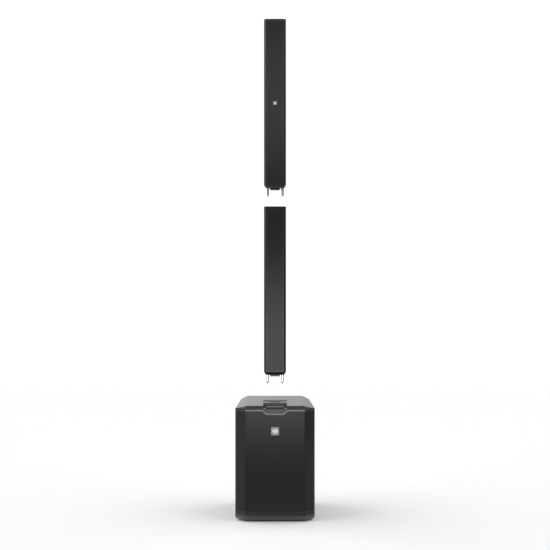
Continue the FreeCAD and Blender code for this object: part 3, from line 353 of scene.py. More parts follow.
def punched_sheet(width, height, pitch, hole, rims, solid=None, cut=None, thick=1.3 * MM, fold=None):
    """A punched sheet as a closed mesh. rims are (left, right, bottom, top) widths of plain steel, as lists
    of breaks from the edge inwards. solid(u, v) is true where the sheet isn't punched, cut is a convex notch
    as (u, v) points, and fold(u, v, depth) places a point of the flat sheet."""
    left, right, bottom, top = rims
    wide, high = width - sum(left) - sum(right), height - sum(bottom) - sum(top)
    across, up = max(1, round(wide / pitch)), max(1, round(high / (pitch * ROW_STEP)))
    step_u, step_v = wide / across, high / up
    lines_u, lines_v = [0.0], [0.0]
    for width_u in left:
        lines_u.append(lines_u[-1] + width_u)
    lines_u += [lines_u[-1] + step_u / 2 * (k + 1) for k in range(2 * across)]
    for width_u in reversed(right):
        lines_u.append(lines_u[-1] + width_u)
    for width_v in bottom:
        lines_v.append(lines_v[-1] + width_v)
    lines_v += [lines_v[-1] + step_v * (k + 1) for k in range(up)]
    for width_v in reversed(top):
        lines_v.append(lines_v[-1] + width_v)
    bm = bmesh.new()
    corner = [[bm.verts.new((u, v, 0.0)) for v in lines_v] for u in lines_u]
    first_u, last_u = len(left), len(left) + 2 * across
    first_v, last_v = len(bottom), len(bottom) + up
    for i in range(len(lines_u) - 1):
        for j in range(len(lines_v) - 1):
            punched_row = first_v <= j < last_v
            if punched_row and first_u <= i < last_u:
                odd = (j - first_v) % 2
                k = i - first_u
                if odd and k in (0, 2 * across - 1):
                    bm.faces.new((corner[i][j], corner[i + 1][j], corner[i + 1][j + 1], corner[i][j + 1]))
                    continue
                if (k - odd) % 2:
                    continue
                ring = [corner[i + 2][j + 1], corner[i + 1][j + 1], corner[i][j + 1],
                        corner[i][j], corner[i + 1][j], corner[i + 2][j]]
                u, v = lines_u[i + 1], (lines_v[j] + lines_v[j + 1]) / 2
                if solid and solid(u, v):
                    bm.faces.new(ring)
                    continue
                inner = [bm.verts.new((u + hole * math.cos(math.radians(a)),
                                       v + hole * math.sin(math.radians(a)), 0.0)) for a in HOLE_CORNERS]
                for a in range(6):
                    b = (a + 1) % 6
                    bm.faces.new((ring[a], ring[b], inner[b], inner[a]))
            else:
                bm.faces.new((corner[i][j], corner[i + 1][j], corner[i + 1][j + 1], corner[i][j + 1]))
    if cut:
        cut_notch(bm, cut)
    loose = [v for v in bm.verts if not v.link_faces]
    bmesh.ops.delete(bm, geom=loose, context="VERTS")
    made = bmesh.ops.extrude_face_region(bm, geom=bm.faces[:], use_keep_orig=True)
    for item in made["geom"]:
        if isinstance(item, bmesh.types.BMVert):
            item.co.z = thick
    for vert in bm.verts:
        vert.co = fold(vert.co.x, vert.co.y, vert.co.z)
    return to_mesh(bm, "punched")


def to_mesh(bm, name):
    """Closes a bmesh and returns it as a mesh whose faces all look outwards."""
    bmesh.ops.recalc_face_normals(bm, faces=bm.faces[:])
    mesh = bpy.data.meshes.new(name)
    bm.to_mesh(mesh)
    bm.free()
    return mesh


def cut_notch(bm, points):
    """Cuts a convex notch, open at the sheet's top, out of a flat sheet."""
    low = min(v for _, v in points) - NEAR_BELOW
    near = [f for f in bm.faces if f.calc_center_median().y > low and
            points[0][0] - NEAR_ASIDE < f.calc_center_median().x < points[-1][0] + NEAR_ASIDE]
    for (u0, v0), (u1, v1) in zip(points, points[1:]):
        across = Vector((v0 - v1, u1 - u0, 0.0)).normalized()
        near = [f for f in near if f.is_valid]
        around = near + list({e for f in near for e in f.edges}) + list({v for f in near for v in f.verts})
        made = bmesh.ops.bisect_plane(bm, geom=around, plane_co=(u0, v0, 0.0), plane_no=across, dist=1e-7)
        near = [g for g in made["geom"] if isinstance(g, bmesh.types.BMFace)]

    def inside(face):
        mid = face.calc_center_median()
        return all((u1 - u0) * (mid.y - v0) - (v1 - v0) * (mid.x - u0) > 0 for (u0, v0), (u1, v1)
                   in zip(points, points[1:]))

    bmesh.ops.delete(bm, geom=[f for f in near if f.is_valid and inside(f)], context="FACES")


def folded_line(corners, radius):
    """A function from arc length to (point, inward normal) along a polyline in plan with rounded corners."""
    runs = []
    start = Vector(corners[0])
    for k in range(1, len(corners)):
        end = Vector(corners[k])
        if k == len(corners) - 1:
            runs.append(("run", start, end, None))
            break
        after = (Vector(corners[k + 1]) - end).normalized()
        before = (end - Vector(corners[k - 1])).normalized()
        turn = math.acos(max(-1.0, min(1.0, before.dot(after))))
        back = radius * math.tan(turn / 2)
        runs.append(("run", start, end - before * back, None))
        side = Vector((-before.y, before.x))
        runs.append(("bend", end - before * back, side, turn))
        start = end + after * back

    lengths = [(b - a).length if kind == "run" else radius * c for kind, a, b, c in runs]

    def place(s):
        for (kind, a, b, turn), length in zip(runs, lengths):
            if s <= length or (kind, a, b, turn) == runs[-1]:
                if kind == "run":
                    along = (b - a).normalized()
                    return a + along * s, Vector((-along.y, along.x))
                angle = s / radius
                centre = a + b * radius
                spoke = Matrix.Rotation(angle, 2) @ (-b)
                return centre + spoke * radius, -spoke
            s -= length

    return place, sum(lengths)


powder_steel = speckled("powder_coated_steel", POWDER_PIMPLE, tones=(POWDER_DARK, POWDER_PALE),
                        gloss=(0.32, 0.42), relief=(0.12, 0.1 * MM), IOR=1.5, Metallic=0.0)

# -- the cabinet's front: one sheet folded back at both shoulders, with a dip under the carrying lip
low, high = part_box("front_grille")
FRONT_HALF, SHOULDER_BACK = 143 * MM, 44 * MM
FRONT_PITCH, FRONT_HOLE = 6.9 * MM, 2.55 * MM
FRONT_THICK, FRONT_RIM = 1.3 * MM, 5 * MM
FOLD_RADIUS = 6 * MM
ROLL_RADIUS, ROLL_DEPTH, ROLL_STEPS = 5 * MM, 6.5 * MM, 7
DIP_DEPTH, DIP_HALF = 17.4 * MM, (40.4 * MM, 57.4 * MM)
# pale greys of the rolled edge: a painted highlight
EDGE_PAINTED_HIGHLIGHT, EDGE_PAINTED_HIGHLIGHT_DARK = "#a8a8ab", "#6e6e71"
HIGHLIGHT_PATCH = 5 * MM
ROLL_SECTION = 2 * MM         # between the sections of the roll

front_plan = [(low.x, low.y + SHOULDER_BACK), (-FRONT_HALF, low.y), (FRONT_HALF, low.y),
              (high.x, low.y + SHOULDER_BACK)]
line, front_width = folded_line(front_plan, FOLD_RADIUS)
front_height = high.z - low.z
middle = front_width / 2
dip_v = front_height - DIP_DEPTH
outline = [Vector(point) for point in (
    (0.0, front_height), (middle - DIP_HALF[1], front_height), (middle - DIP_HALF[0], dip_v),
    (middle + DIP_HALF[0], dip_v), (middle + DIP_HALF[1], front_height), (front_width, front_height))]


def fold_front(u, v, back):
    """Places a point of the flat sheet, back being its depth behind the outer face."""
    point, inward = line(u)
    return (point.x + inward.x * back, point.y + inward.y * back, low.z + v)


def outward(points):
    """The mitred outward direction at each point of an outline that runs from left to right."""
    sides = [Vector((a.y - b.y, b.x - a.x)).normalized() for a, b in zip(points, points[1:])]
    pairs = zip(sides[:1] + sides, sides + sides[-1:])
    return [(a + b) / (1 + a.dot(b)) for a, b in pairs]


edge = [point - way * ROLL_RADIUS for point, way in zip(outline, outward(outline))]
flat_height, dip_edge = edge[0].y, edge[2].y


def plain_front(u, v):
    """Steel is left plain round the dip."""
    reach = edge[3].x - middle + max(0.0, v - dip_edge) * (edge[4].x - edge[3].x) / (flat_height - dip_edge)
    return v > dip_edge - FRONT_RIM and abs(u - middle) < reach + FRONT_RIM


front_rim = [FRONT_RIM]
front_mesh = punched_sheet(front_width, flat_height, FRONT_PITCH, FRONT_HOLE,
                           (front_rim, front_rim, front_rim, [FRONT_RIM / 2]), plain_front,
                           [(point.x, point.y) for point in edge[1:5]], FRONT_THICK, fold_front)
piece("cabinet_front_steel", front_mesh, "cabinet", powder_steel, ["front_grille"],
      smooth=False)

# -- its upper edge, rolled back; along the flat front it is painted pale grey, a painted highlight for the light the roll catches
powder_painted_highlight = speckled("powder_coat_painted_highlight", HIGHLIGHT_PATCH, 3.0, tones=(EDGE_PAINTED_HIGHLIGHT_DARK, EDGE_PAINTED_HIGHLIGHT),
                         gloss=(0.28, 0.4), IOR=1.5, Metallic=0.0)

profile = []                  # (outwards, back) of the roll's section
for skin in (0.0, FRONT_THICK):
    radius = ROLL_RADIUS - skin
    arc = [(radius * math.sin(math.pi / 2 * k / ROLL_STEPS),
            ROLL_RADIUS - radius * math.cos(math.pi / 2 * k / ROLL_STEPS)) for k in range(ROLL_STEPS + 1)]
    arc.append((radius, ROLL_DEPTH))
    profile += arc if skin == 0.0 else arc[::-1]
bm = bmesh.new()
sections = []
ways = outward(outline)
for k, (start, end) in enumerate(zip(edge, edge[1:])):
    count = max(1, round((end - start).length / ROLL_SECTION))
    along = (end - start).normalized()
    side = Vector((-along.y, along.x))
    for step in range(count if k < len(edge) - 2 else count + 1):
        at = start.lerp(end, step / count)
        way = ways[k] if step == 0 else ways[k + 1] if step == count else side
        sections.append([bm.verts.new(fold_front(at.x + way.x * out, at.y + way.y * out, back))
                         for out, back in profile])
for before, after in zip(sections, sections[1:]):
    for k in range(len(profile)):
        b = (k + 1) % len(profile)
        bm.faces.new((before[k], after[k], after[b], before[b]))
bm.faces.new(sections[0])
bm.faces.new(sections[-1][::-1])
roll_mesh = to_mesh(bm, "rolled_edge")
piece("cabinet_front_edge", roll_mesh, "cabinet", powder_painted_highlight)
roll_mesh.materials.append(powder_steel)
for polygon in roll_mesh.polygons:
    if abs(polygon.center.x) > FRONT_HALF:
        polygon.material_index = 1          # the shoulders keep the plain coat; the painted highlight runs along the flat front only

# -- the columns' fronts: one strip each, folded back along both long edges
COLUMN_PITCH, COLUMN_HOLE = 5.2 * MM, 1.95 * MM
STRIP_THICK, STRIP_FLANK, STRIP_FOLD = 1.1 * MM, 10 * MM, 1.8 * MM
STRIP_SIDE_RIM = [8.2 * MM, 0.95 * MM, 0.95 * MM, 0.93 * MM, 1.2 * MM]   # breaks round the fold
STRIP_END_RIM = [3 * MM]
for side in ("lower", "upper"):
    low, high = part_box(f"{side}_grille")
    line, strip_width = folded_line([(low.x, low.y + STRIP_FLANK), (low.x, low.y), (high.x, low.y),
                                     (high.x, low.y + STRIP_FLANK)], STRIP_FOLD)

    def fold_strip(u, v, depth, line=line, low=low):
        point, inward = line(u)
        return (point.x + inward.x * depth, point.y + inward.y * depth, low.z + v)

    rims = (STRIP_SIDE_RIM, STRIP_SIDE_RIM, STRIP_END_RIM, STRIP_END_RIM)
    strip = punched_sheet(strip_width, high.z - low.z, COLUMN_PITCH, COLUMN_HOLE, rims, thick=STRIP_THICK,
                          fold=fold_strip)
    piece(f"{side}_front_steel", strip, f"{side}_column", powder_steel, [f"{side}_grille"],
          smooth=False)


# ==== Foam behind the steel ============================================================================
# Sheets of open-cell polyether foam, dyed black and glued to the inside of the punched steel. They hide
# the drivers and let the sound through. The cells are torn open, so that the foam shows no gloss at all.
FOAM_DARK, FOAM_RIM = "#070707", "#141414"
FOAM_CELL = 2.2 * MM          # really 0.5 mm; drawn coarser so that it shows
FOAM_THICK, FOAM_GAP = 5.5 * MM, 1.6 * MM
FOAM_INSET, FOAM_TOP = 4 * MM, 512 * MM
FOAM_FOLD = FOLD_RADIUS + 4 * MM
STRIP_FOAM_THICK, STRIP_FOAM_GAP = 4 * MM, 1.5 * MM
STRIP_FOAM_SIDE, STRIP_FOAM_END = 2.5 * MM, 2 * MM
TEAR, TEAR_STEP = 0.35 * MM, 12 * MM


def foam_sheet(width, height, thick, place):
    """A foam sheet as a closed grid with torn, uneven faces. place(u, v, depth) puts a point in its room."""
    bm = bmesh.new()
    count_u, count_v = max(6, round(width / TEAR_STEP)), max(8, round(height / TEAR_STEP))
    front, back = [[[bm.verts.new(place(width * i / count_u, height * j / count_v,
                                        depth + TEAR * math.sin(i * 2.4 + j * 1.7) * unevenness))
                     for j in range(count_v + 1)] for i in range(count_u + 1)]
                   for depth, unevenness in ((0.0, -0.4), (thick, 1))]
    for i in range(count_u):
        for j in range(count_v):
            bm.faces.new((front[i][j], front[i + 1][j], front[i + 1][j + 1], front[i][j + 1]))
            bm.faces.new((back[i][j], back[i][j + 1], back[i + 1][j + 1], back[i + 1][j]))
    rim_points = ([(i, 0) for i in range(count_u)] + [(count_u, j) for j in range(count_v)]
                  + [(i, count_v) for i in range(count_u, 0, -1)] + [(0, j) for j in range(count_v, 0, -1)])
    for (i, j), (a, b) in zip(rim_points, rim_points[1:] + rim_points[:1]):
        bm.faces.new((front[i][j], back[i][j], back[a][b], front[a][b]))
    return to_mesh(bm, "foam")


open_foam, tree, surface = material("open_cell_foam", IOR=1.3, Metallic=0.0, Roughness=1.0,
                                    Specular_IOR_Level=0.1)
where = add(tree, "TexCoord").outputs["Object"]
cells = add(tree, "TexVoronoi", Vector=where, Scale=1 / FOAM_CELL)
tone = add(tree, "MixRGB", _0=cells.outputs["Distance"], _1=linear(FOAM_DARK), _2=linear(FOAM_RIM))
relief = add(tree, "Bump", Height=cells.outputs["Distance"], Strength=0.9, Distance=0.8 * MM)
dress(tree, surface, Base_Color=tone, Normal=relief)

foam_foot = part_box("grille_foam")[0].z
line, front_width = folded_line(front_plan, FOAM_FOLD)


def behind_front(u, v, depth):
    point, inward = line(FOAM_INSET + u)
    reach = depth + FOAM_GAP
    return (point.x + inward.x * reach, point.y + inward.y * reach, foam_foot + v)


front_foam = piece("cabinet_front_foam",
                   foam_sheet(front_width - 2 * FOAM_INSET, FOAM_TOP - foam_foot, FOAM_THICK, behind_front),
                   "cabinet", open_foam, ["grille_foam"])

for side in ("lower", "upper"):
    low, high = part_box(f"{side}_grille")

    def behind_strip(u, v, depth, low=low):
        return (low.x + STRIP_FOAM_SIDE + u, low.y + STRIP_FOAM_GAP + depth, low.z + STRIP_FOAM_END + v)

    strip_foam = piece(f"{side}_column_foam",
                       foam_sheet(high.x - low.x - 2 * STRIP_FOAM_SIDE, high.z - low.z - 2 * STRIP_FOAM_END,
                                  STRIP_FOAM_THICK, behind_strip),
                       f"{side}_column", open_foam)


# ==== Badges ===========================================================================================
# Square plates stamped from aluminium, brushed across, clear anodised and glued to the steel: a soft grey
# gloss with fine level lines. Their only mark is three raised bars in smooth white enamel.
BRUSHED, BRUSHED_DARK = "#8a8a8e", "#727276"
ENAMEL_HAZE, BAR_WHITE = "#dedede", "#f2f2f2"
BRUSH_LINE = 0.8 * MM         # really 0.1 mm; drawn coarser so that it shows
BAR_PROUD = {"cabinet_badge": 0.6 * MM, "column_badge": 0.4 * MM}
MARK_REACH = 0.34             # of the plate's height, each way from its middle
BAR_FACE = 0.98               # of a bar's height; only faces proud of the plate are enamelled

brushed_aluminium, tree, surface = material("brushed_anodised_aluminium", Metallic=1.0)
where = add(tree, "TexCoord").outputs["Object"]
drawn = add(tree, "Mapping", Vector=where, Scale=(0.04, 1.0, 1.0))
lines = add(tree, "TexNoise", Vector=drawn.outputs[0], Scale=1 / BRUSH_LINE, Detail=3.0)
tone = add(tree, "MixRGB", _0=lines.outputs["Fac"], _1=linear(BRUSHED_DARK), _2=linear(BRUSHED))
sheen = add(tree, "MapRange", Value=lines.outputs["Fac"], To_Min=0.34, To_Max=0.5)
dress(tree, surface, Base_Color=tone, Roughness=sheen)

white_enamel = speckled("white_enamel", 3 * MM, tones=(ENAMEL_HAZE, BAR_WHITE), IOR=1.5, Metallic=0.0,
                        Roughness=0.35)

for node, bar in BAR_PROUD.items():
    coat(node, brushed_aluminium)
    low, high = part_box(node)
    middle = (low + high) / 2
    reach = (high.z - low.z) * MARK_REACH
    finish_faces(node, white_enamel, (middle.x - reach, low.y, middle.z - reach),
                 (middle.x + reach, low.y + bar * BAR_FACE, middle.z + reach))


# ==== Column housings ==================================================================================
# Aluminium extrusions, shot blasted and coated with a fine black powder, faintly streaked along their
# length. Their front corners have a wide flat chamfer that catches the light beside the punched steel.
COAT_DARK, COAT_PALE = "#121214", "#1b1b1d"
COAT_PIMPLE = 1.4 * MM        # really 0.3 mm; drawn coarser so that it shows
DRAW_STREAK = 9 * MM

powder_aluminium, tree, surface = material("powder_coated_aluminium", IOR=1.5, Metallic=0.0)
where = add(tree, "TexCoord").outputs["Object"]
speckle = add(tree, "TexNoise", Vector=where, Scale=1 / COAT_PIMPLE, Detail=2.0)
draw = add(tree, "Mapping", Vector=where, Scale=(1.0, 1.0, 0.02))
streak = add(tree, "TexNoise", Vector=draw.outputs[0], Scale=1 / DRAW_STREAK, Detail=2.0)
tone = add(tree, "MixRGB", _0=streak.outputs["Fac"], _1=linear(COAT_DARK), _2=linear(COAT_PALE))
sheen = add(tree, "MapRange", Value=speckle.outputs["Fac"], To_Min=0.36, To_Max=0.46)
relief = add(tree, "Bump", Height=speckle.outputs["Fac"], Strength=0.1, Distance=0.1 * MM)
dress(tree, surface, Base_Color=tone, Roughness=sheen, Normal=relief)

for side in ("lower", "upper"):
    soften(f"{side}_housing", powder_aluminium, 2.4 * MM, segments=4)


# ==== Guide pins, bushes, plugs and sockets ============================================================
# The pins are ground and polished steel, pressed into the nose, nearly white with faint rings. The bushes
# are turned steel, greyer and duller. Plug and socket are black glass-filled nylon, cloudy with glass
# fibre, with gold-flashed contacts that plugging has scuffed.
POLISHED, POLISHED_DARK = "#f2f2f3", "#e0e0e2"
TURNED, NYLON, NYLON_PALE, GOLD = "#8c8c90", "#161617", "#222224", "#c9a45c"
GRIND_LINE = 0.6 * MM
CONTACT_X, CONTACT_Y = (-18, -6, 6, 18), (-6, 6)      # of the plug's blades, in mm
CONTACT_HALF, CONTACT_LONG = 1.4, 10 * MM

polished_steel, tree, surface = material("ground_polished_steel", Metallic=1.0)
where = add(tree, "TexCoord").outputs["Object"]
rings = add(tree, "Mapping", Vector=where, Scale=(0.03, 0.03, 1.0))
marks = add(tree, "TexNoise", Vector=rings.outputs[0], Scale=1 / GRIND_LINE, Detail=2.0)
tone = add(tree, "MixRGB", _0=marks.outputs["Fac"], _1=linear(POLISHED_DARK), _2=linear(POLISHED))
sheen = add(tree, "MapRange", Value=marks.outputs["Fac"], To_Min=0.2, To_Max=0.34)
dress(tree, surface, Base_Color=tone, Roughness=sheen)

turned_steel = speckled("turned_steel", 1.5 * MM, 3.0, gloss=(0.25, 0.45), Metallic=1.0,
                        Base_Color=linear(TURNED))

glass_nylon = speckled("glass_filled_nylon", 2.5 * MM, 4.0, tones=(NYLON, NYLON_PALE), gloss=(0.3, 0.4),
                       IOR=1.53, Metallic=0.0)

gold_contact = speckled("gold_flashed_contact", 1.2 * MM, gloss=(0.18, 0.35), Metallic=1.0,
                        Base_Color=linear(GOLD))

for side in ("lower", "upper"):
    coat(f"{side}_guide_pins", polished_steel)
    coat(f"{side}_plug", glass_nylon)
    low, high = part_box(f"{side}_plug")
    mid_y = (low.y + high.y) / 2
    for x in CONTACT_X:
        for y in CONTACT_Y:
            finish_faces(f"{side}_plug", gold_contact,
                         ((x - CONTACT_HALF) * MM, mid_y + (y - CONTACT_HALF) * MM, low.z),
                         ((x + CONTACT_HALF) * MM, mid_y + (y + CONTACT_HALF) * MM, low.z + CONTACT_LONG))
for node in ("seat_bushes", "column_seat_bushes"):
    coat(node, turned_steel)
for node in ("seat_socket", "column_seat_socket"):
    soften(node, glass_nylon, 0.5 * MM)


# ==== Drivers ==========================================================================================
# Pressed chassis under glossy black enamel, motors of dull grey pitted ferrite, pulp cones whose fibres
# show through a matt black dope, and half rolls of butyl rubber with a faint bloom. The boards are brown
# fibreboard, sealed matt, and the ports and the horn polished ABS. All of it sits behind steel and foam.
ENAMEL, BUTYL, GLOSS_BLACK = "#1a1a1b", "#101010", "#131314"
FERRITE, FERRITE_PALE = "#2e2e30", "#3b3b3d"
PULP, PULP_FIBRE = "#151515", "#232321"
BOARD_DARK, BOARD_PALE = "#3a3128", "#55483a"

black_enamel = speckled("black_enamel", 4 * MM, gloss=(0.3, 0.45), IOR=1.5, Metallic=0.0,
                        Base_Color=linear(ENAMEL))

ferrite = speckled("sintered_ferrite", 1.5 * MM, 4.0, tones=(FERRITE, FERRITE_PALE), IOR=1.8, Metallic=0.2,
                   Roughness=0.6)

doped_pulp = speckled("doped_paper_pulp", 2 * MM, 5.0, tones=(PULP, PULP_FIBRE), relief=(0.5, 0.15 * MM),
                      warp=1.5, IOR=1.45, Metallic=0.0, Roughness=0.75)

butyl_rubber = speckled("butyl_rubber", 5 * MM, 3.0, gloss=(0.5, 0.7), IOR=1.52, Metallic=0.0,
                        Base_Color=linear(BUTYL))

baffle_board = speckled("sealed_fibreboard", 3 * MM, 4.0, tones=(BOARD_DARK, BOARD_PALE), IOR=1.45,
                        Metallic=0.0, Roughness=0.8)

gloss_abs = speckled("polished_abs", 12 * MM, gloss=(0.18, 0.3), IOR=1.5, Metallic=0.0,
                     Base_Color=linear(GLOSS_BLACK))

for finish, made_of_it in (
        (black_enamel, ("woofer_frame", "lower_driver_frames", "upper_driver_frames")),
        (ferrite, ("woofer_motor", "tweeter_driver")),
        (doped_pulp, ("woofer_cone", "lower_cones", "upper_cones")),
        (butyl_rubber, ("woofer_surround", "lower_surrounds", "upper_surrounds")),
        (baffle_board, ("front_baffle", "lower_baffle", "upper_baffle")),
        (gloss_abs, ("port_tubes", "tweeter_horn"))):
    for node in made_of_it:
        coat(node, finish)


# ==== Rear panel =======================================================================================
# Folded steel, powder coated matt black and screen printed in flat pale grey. It sits deep in a cut-out of
# the rear board, so that nothing on it is struck when the cabinet is set down on its back.
PANEL_DARK, PANEL_PALE = "#151517", "#1f1f21"
PRINT_DARK, PRINT_GREY = "#b4b4b6", "#c4c4c6"
PRINT_THICK, PRINT_SUNK = 0.12 * MM, 0.02 * MM
FRAME_LINE, BUTTON_WIDE = 0.6 * MM, 0.7 * MM
FRAMES = [                    # left, right, bottom, top of each printed frame, in mm
    (-116, -8, 297, 410), (-4, 62, 297, 410), (66, 116, 297, 410), (-116, 116, 414, 474), (-104, 8, 110, 170)]
BUTTON_LINES, BUTTON_LINE = [(-62, 458), (-62, 436)], 8
DIAL_KNOBS = ["knob_channel_1", "knob_channel_2", "knob_line", "knob_sub_level"]
DIAL_REACH, DIAL_FROM, DIAL_STEP, DIAL_TICKS = 15.5, -150, 30, 11
LONG_TICK, SHORT_TICK = (3.4, 0.8), (2.0, 0.5)        # length and width; every fifth is long

panel_powder = speckled("panel_powder_coat", 1.5 * MM, 3.0, tones=(PANEL_DARK, PANEL_PALE),
                        gloss=(0.4, 0.56), relief=(0.15, 0.1 * MM), IOR=1.5, Metallic=0.0)

screen_print = speckled("screen_print_ink", 0.9 * MM, 1.0, tones=(PRINT_DARK, PRINT_GREY), IOR=1.48,
                        Metallic=0.0, Roughness=0.55)

soften("amp_panel", panel_powder, 0.5 * MM)
PANEL_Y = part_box("amp_panel")[1].y


def stroke(bm, x0, z0, x1, z1, width, y=PANEL_Y, thick=PRINT_THICK):
    """A printed stroke between two points of the panel, as a thin closed bar."""
    along = Vector((x1 - x0, z1 - z0)).normalized()
    side = Vector((-along.y, along.x)) * width / 2
    flat = [(x0 + side.x, z0 + side.y), (x1 + side.x, z1 + side.y),
            (x1 - side.x, z1 - side.y), (x0 - side.x, z0 - side.y)]
    inner = [bm.verts.new((x, y - PRINT_SUNK, z)) for x, z in flat]
    outer = [bm.verts.new((x, y + thick, z)) for x, z in flat]
    bm.faces.new(inner)
    bm.faces.new(outer[::-1])
    for a in range(4):
        b = (a + 1) % 4
        bm.faces.new((inner[b], inner[a], outer[a], outer[b]))


def middle_of(node):
    low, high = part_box(node)
    return (low + high) / 2


bm = bmesh.new()
for node in DIAL_KNOBS:
    at = middle_of(node)
    for step in range(DIAL_TICKS):
        turn = math.radians(DIAL_FROM + DIAL_STEP * step)
        tick_long, tick_wide = SHORT_TICK if step % 5 else LONG_TICK
        a, b = DIAL_REACH * MM, (DIAL_REACH + tick_long) * MM
        stroke(bm, at.x + a * math.sin(turn), at.z + a * math.cos(turn), at.x + b * math.sin(turn),
               at.z + b * math.cos(turn), tick_wide * MM)
for left, right, bottom, top in FRAMES:
    corners = [(left, bottom), (right, bottom), (right, top), (left, top)]
    for (x0, z0), (x1, z1) in zip(corners, corners[1:] + corners[:1]):
        stroke(bm, x0 * MM, z0 * MM, x1 * MM, z1 * MM, FRAME_LINE)
for x, z in BUTTON_LINES:
    stroke(bm, x * MM, z * MM, (x + BUTTON_LINE) * MM, z * MM, BUTTON_WIDE)
piece("panel_print", to_mesh(bm, "panel_print"), "cabinet", screen_print, smooth=False)


# ==== Heatsink =========================================================================================
# An aluminium extrusion with fins across the panel, saw cut and black anodised. The anodising is thin,
# so the metal's own gloss still shows along the fins.
ANODISED_DARK, ANODISED_PALE = "#242427", "#36363a"
DIE_LINE = 1.2 * MM

anodised, tree, surface = material("black_anodised_aluminium", Metallic=0.85)
where = add(tree, "TexCoord").outputs["Object"]
draw = add(tree, "Mapping", Vector=where, Scale=(1.0, 1.0, 0.03))
streak = add(tree, "TexNoise", Vector=draw.outputs[0], Scale=1 / DIE_LINE, Detail=2.0)
tone = add(tree, "MixRGB", _0=streak.outputs["Fac"], _1=linear(ANODISED_DARK), _2=linear(ANODISED_PALE))
sheen = add(tree, "MapRange", Value=streak.outputs["Fac"], To_Min=0.3, To_Max=0.45)
dress(tree, surface, Base_Color=tone, Roughness=sheen)

soften("heatsink", anodised, 0.35 * MM, segments=2)


# ==== Knobs, buttons, tabs and rocker ==================================================================
# Soft-touch knobs moulded over steel shafts, velvety and matt, each with a white line let into its top.
# The push buttons are satin grey ABS, the release tabs red nylon with a low gloss, and the rocker polished
# black ABS.
SOFT_DARK, SOFT_PALE = "#1d1d1f", "#2a2a2c"
BUTTON_GREY, BUTTON_PALE = "#8a8a8d", "#9a9a9d"
TAB_RED, TAB_RED_PALE = "#a11414", "#c02020"
LINE_FROM, LINE_TO, LINE_WIDE = 0.38, 0.97, 1.3 * MM  # along the knob's radius
LINE_SUNK, LINE_THICK = 0.9 * MM, 0.65 * MM

soft_touch = speckled("soft_touch_knob", 1.0 * MM, tones=(SOFT_DARK, SOFT_PALE), gloss=(0.55, 0.7), IOR=1.5,
                      Metallic=0.0, Sheen_Weight=0.2)

grey_button = speckled("grey_abs_button", 2 * MM, tones=(BUTTON_GREY, BUTTON_PALE), gloss=(0.3, 0.42),
                       IOR=1.5, Metallic=0.0)

red_nylon = speckled("red_nylon", 1.5 * MM, tones=(TAB_RED, TAB_RED_PALE), gloss=(0.28, 0.4), IOR=1.53,
                     Metallic=0.0)

for node in DIAL_KNOBS + ["menu_encoder"]:
    coat(node, soft_touch)
    low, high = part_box(node)
    at = (low + high) / 2
    reach = (high.z - low.z) / 2
    bm = bmesh.new()
    stroke(bm, at.x, at.z + reach * LINE_FROM, at.x, at.z + reach * LINE_TO, LINE_WIDE, y=high.y - LINE_SUNK,
           thick=LINE_THICK)
    piece(f"{node}_line", to_mesh(bm, node), node, white_enamel, smooth=False)
for node in ("button_pair", "button_mode"):
    coat(node, grey_button)
for node in ("latch_tab_left", "latch_tab_right"):
    coat(node, red_nylon)
soften("power_rocker", gloss_abs, 0.7 * MM)


# ==== Sockets ==========================================================================================
# Moulded nylon bodies for the combined sockets, the link socket and the mains inlet. Their pins and the
# whole of the phono sockets are nickel plated, which is warm, bright and slightly clouded.
NICKEL_DARK, NICKEL_PALE = "#a2a09a", "#c2c0ba"
LINK_LOW, LINK_HIGH = Vector((-5.6, -14.2, -6.2)) * MM, Vector((5.6, 0.6, 4.0)) * MM      # round its pins
INLET_LOW, INLET_HIGH = Vector((15, -19.5, 11)) * MM, Vector((35, -2.9, -10)) * MM        # round its pins
SPRING_RING, SPRING_TURNS, BELOW_TAB = 7.5 * MM, (60, 180, 300), 11.7 * MM
SPRING_FOOT, SPRING_TIP, SPRING_LONG, SPRING_DEEP = 1.25 * MM, 1.05 * MM, 8 * MM, 6.5 * MM

nickel = speckled("nickel_plate", 2 * MM, 3.0, tones=(NICKEL_DARK, NICKEL_PALE), gloss=(0.2, 0.36),
                  Metallic=1.0)

soften("combo_sockets", glass_nylon, 0.3 * MM, segments=2)
coat("link_socket", glass_nylon)
at = middle_of("link_socket")
at.y = PANEL_Y
finish_faces("link_socket", nickel, at + LINK_LOW, at + LINK_HIGH)
coat("phono_sockets", nickel)
soften("mains_inlet", glass_nylon, 0.35 * MM, segments=2)
low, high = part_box("mains_inlet")
finish_faces("mains_inlet", nickel, Vector((low.x, PANEL_Y, low.z)) + INLET_LOW,
             Vector((low.x, PANEL_Y, high.z)) + INLET_HIGH)

# -- nickel springs in the ring slot of each combined socket
for number, node in enumerate(("latch_tab_left", "latch_tab_right")):
    at = middle_of(node)
    bm = bmesh.new()
    for turn in SPRING_TURNS:
        a = math.radians(turn)
        place = (at.x + SPRING_RING * math.sin(a), PANEL_Y - SPRING_DEEP,
                 at.z - BELOW_TAB + SPRING_RING * math.cos(a))
        bmesh.ops.create_cone(bm, cap_ends=True, segments=16, radius1=SPRING_FOOT, radius2=SPRING_TIP,
                              depth=SPRING_LONG,
                              matrix=Matrix.Translation(place) @ Matrix.Rotation(math.radians(90), 4, "X"))
    piece(f"combo_contacts_{number + 1}", to_mesh(bm, "contacts"), "cabinet", nickel)


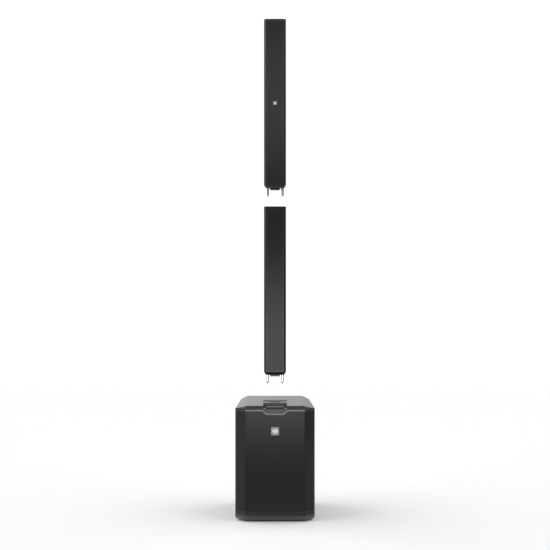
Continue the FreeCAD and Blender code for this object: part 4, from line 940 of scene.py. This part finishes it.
# ==== Display ==========================================================================================
# A clear window of smoked acrylic, smeared by fingers, over a small blue screen. The screen's backlight is
# uneven, and it shows plain level bars in pale blue.
SMOKE, SCREEN_BLACK, BAR_BLUE = "#7d868d", "#0a1118", "#bfe3ff"
BACKLIGHT, BACKLIGHT_PALE = "#0c2a44", "#123a5c"
GLOW, GLOW_PALE = "#9fd0f5", "#d6eeff"
SCREEN_SIDE, SCREEN_ENDS, SCREEN_DEEP, SCREEN_THICK = 5 * MM, 9 * MM, 1.2 * MM, 1.0 * MM
LIT_BARS = (9, 7, 11, 6)      # lit segments in each row
BAR_X, BAR_Z, BAR_STEP, ROW_DOWN = 12, 10, 5, 8       # in mm
BAR_LONG, BAR_TALL, BAR_DEEP, BAR_THICK = 3.6 * MM, 3.4 * MM, 0.2 * MM, 0.12 * MM

smoked_window = speckled("smoked_acrylic", 14 * MM, relief=(0.05, 0.1 * MM), IOR=1.49, Metallic=0.0,
                         Transmission_Weight=1.0, Roughness=0.04, Base_Color=linear(SMOKE))

screen_glass = speckled("screen_glass", 20 * MM, 1.0, tones=(BACKLIGHT, BACKLIGHT_PALE), lit=0.6, IOR=1.5,
                        Metallic=0.0, Roughness=0.25, Base_Color=linear(SCREEN_BLACK))

lit_segment = speckled("lit_segment", 5 * MM, 1.0, tones=(GLOW, GLOW_PALE), lit=1.0, IOR=1.5, Metallic=0.0,
                       Roughness=0.4, Base_Color=linear(BAR_BLUE))

coat("display_window", smoked_window)
low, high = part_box("display_window")
mid_z = (low.z + high.z) / 2
bm = bmesh.new()
stroke(bm, low.x + SCREEN_SIDE, mid_z, high.x - SCREEN_SIDE, mid_z, high.z - low.z - SCREEN_ENDS,
       y=low.y - SCREEN_DEEP, thick=SCREEN_THICK)
piece("menu_screen", to_mesh(bm, "menu_screen"), "cabinet", screen_glass, smooth=False)
bm = bmesh.new()
for row, lit in enumerate(LIT_BARS):
    for step in range(lit):
        x = low.x + (BAR_X + BAR_STEP * step) * MM
        z = high.z - (BAR_Z + ROW_DOWN * row) * MM
        stroke(bm, x, z, x + BAR_LONG, z, BAR_TALL, y=low.y - BAR_DEEP, thick=BAR_THICK)
piece("level_bars", to_mesh(bm, "level_bars"), "cabinet", lit_segment, smooth=False)


# ==== Amplifier board ==================================================================================
# A glass-fibre circuit board, shut away in the cabinet. Its green solder resist is glossy and a little
# darker where copper lies under it.
RESIST_DARK, RESIST_PALE = "#14382a", "#1f5038"

solder_resist = speckled("green_solder_resist", 3 * MM, 3.0, tones=(RESIST_DARK, RESIST_PALE),
                         gloss=(0.3, 0.5), IOR=1.5, Metallic=0.0)

coat("amp_board", solder_resist)
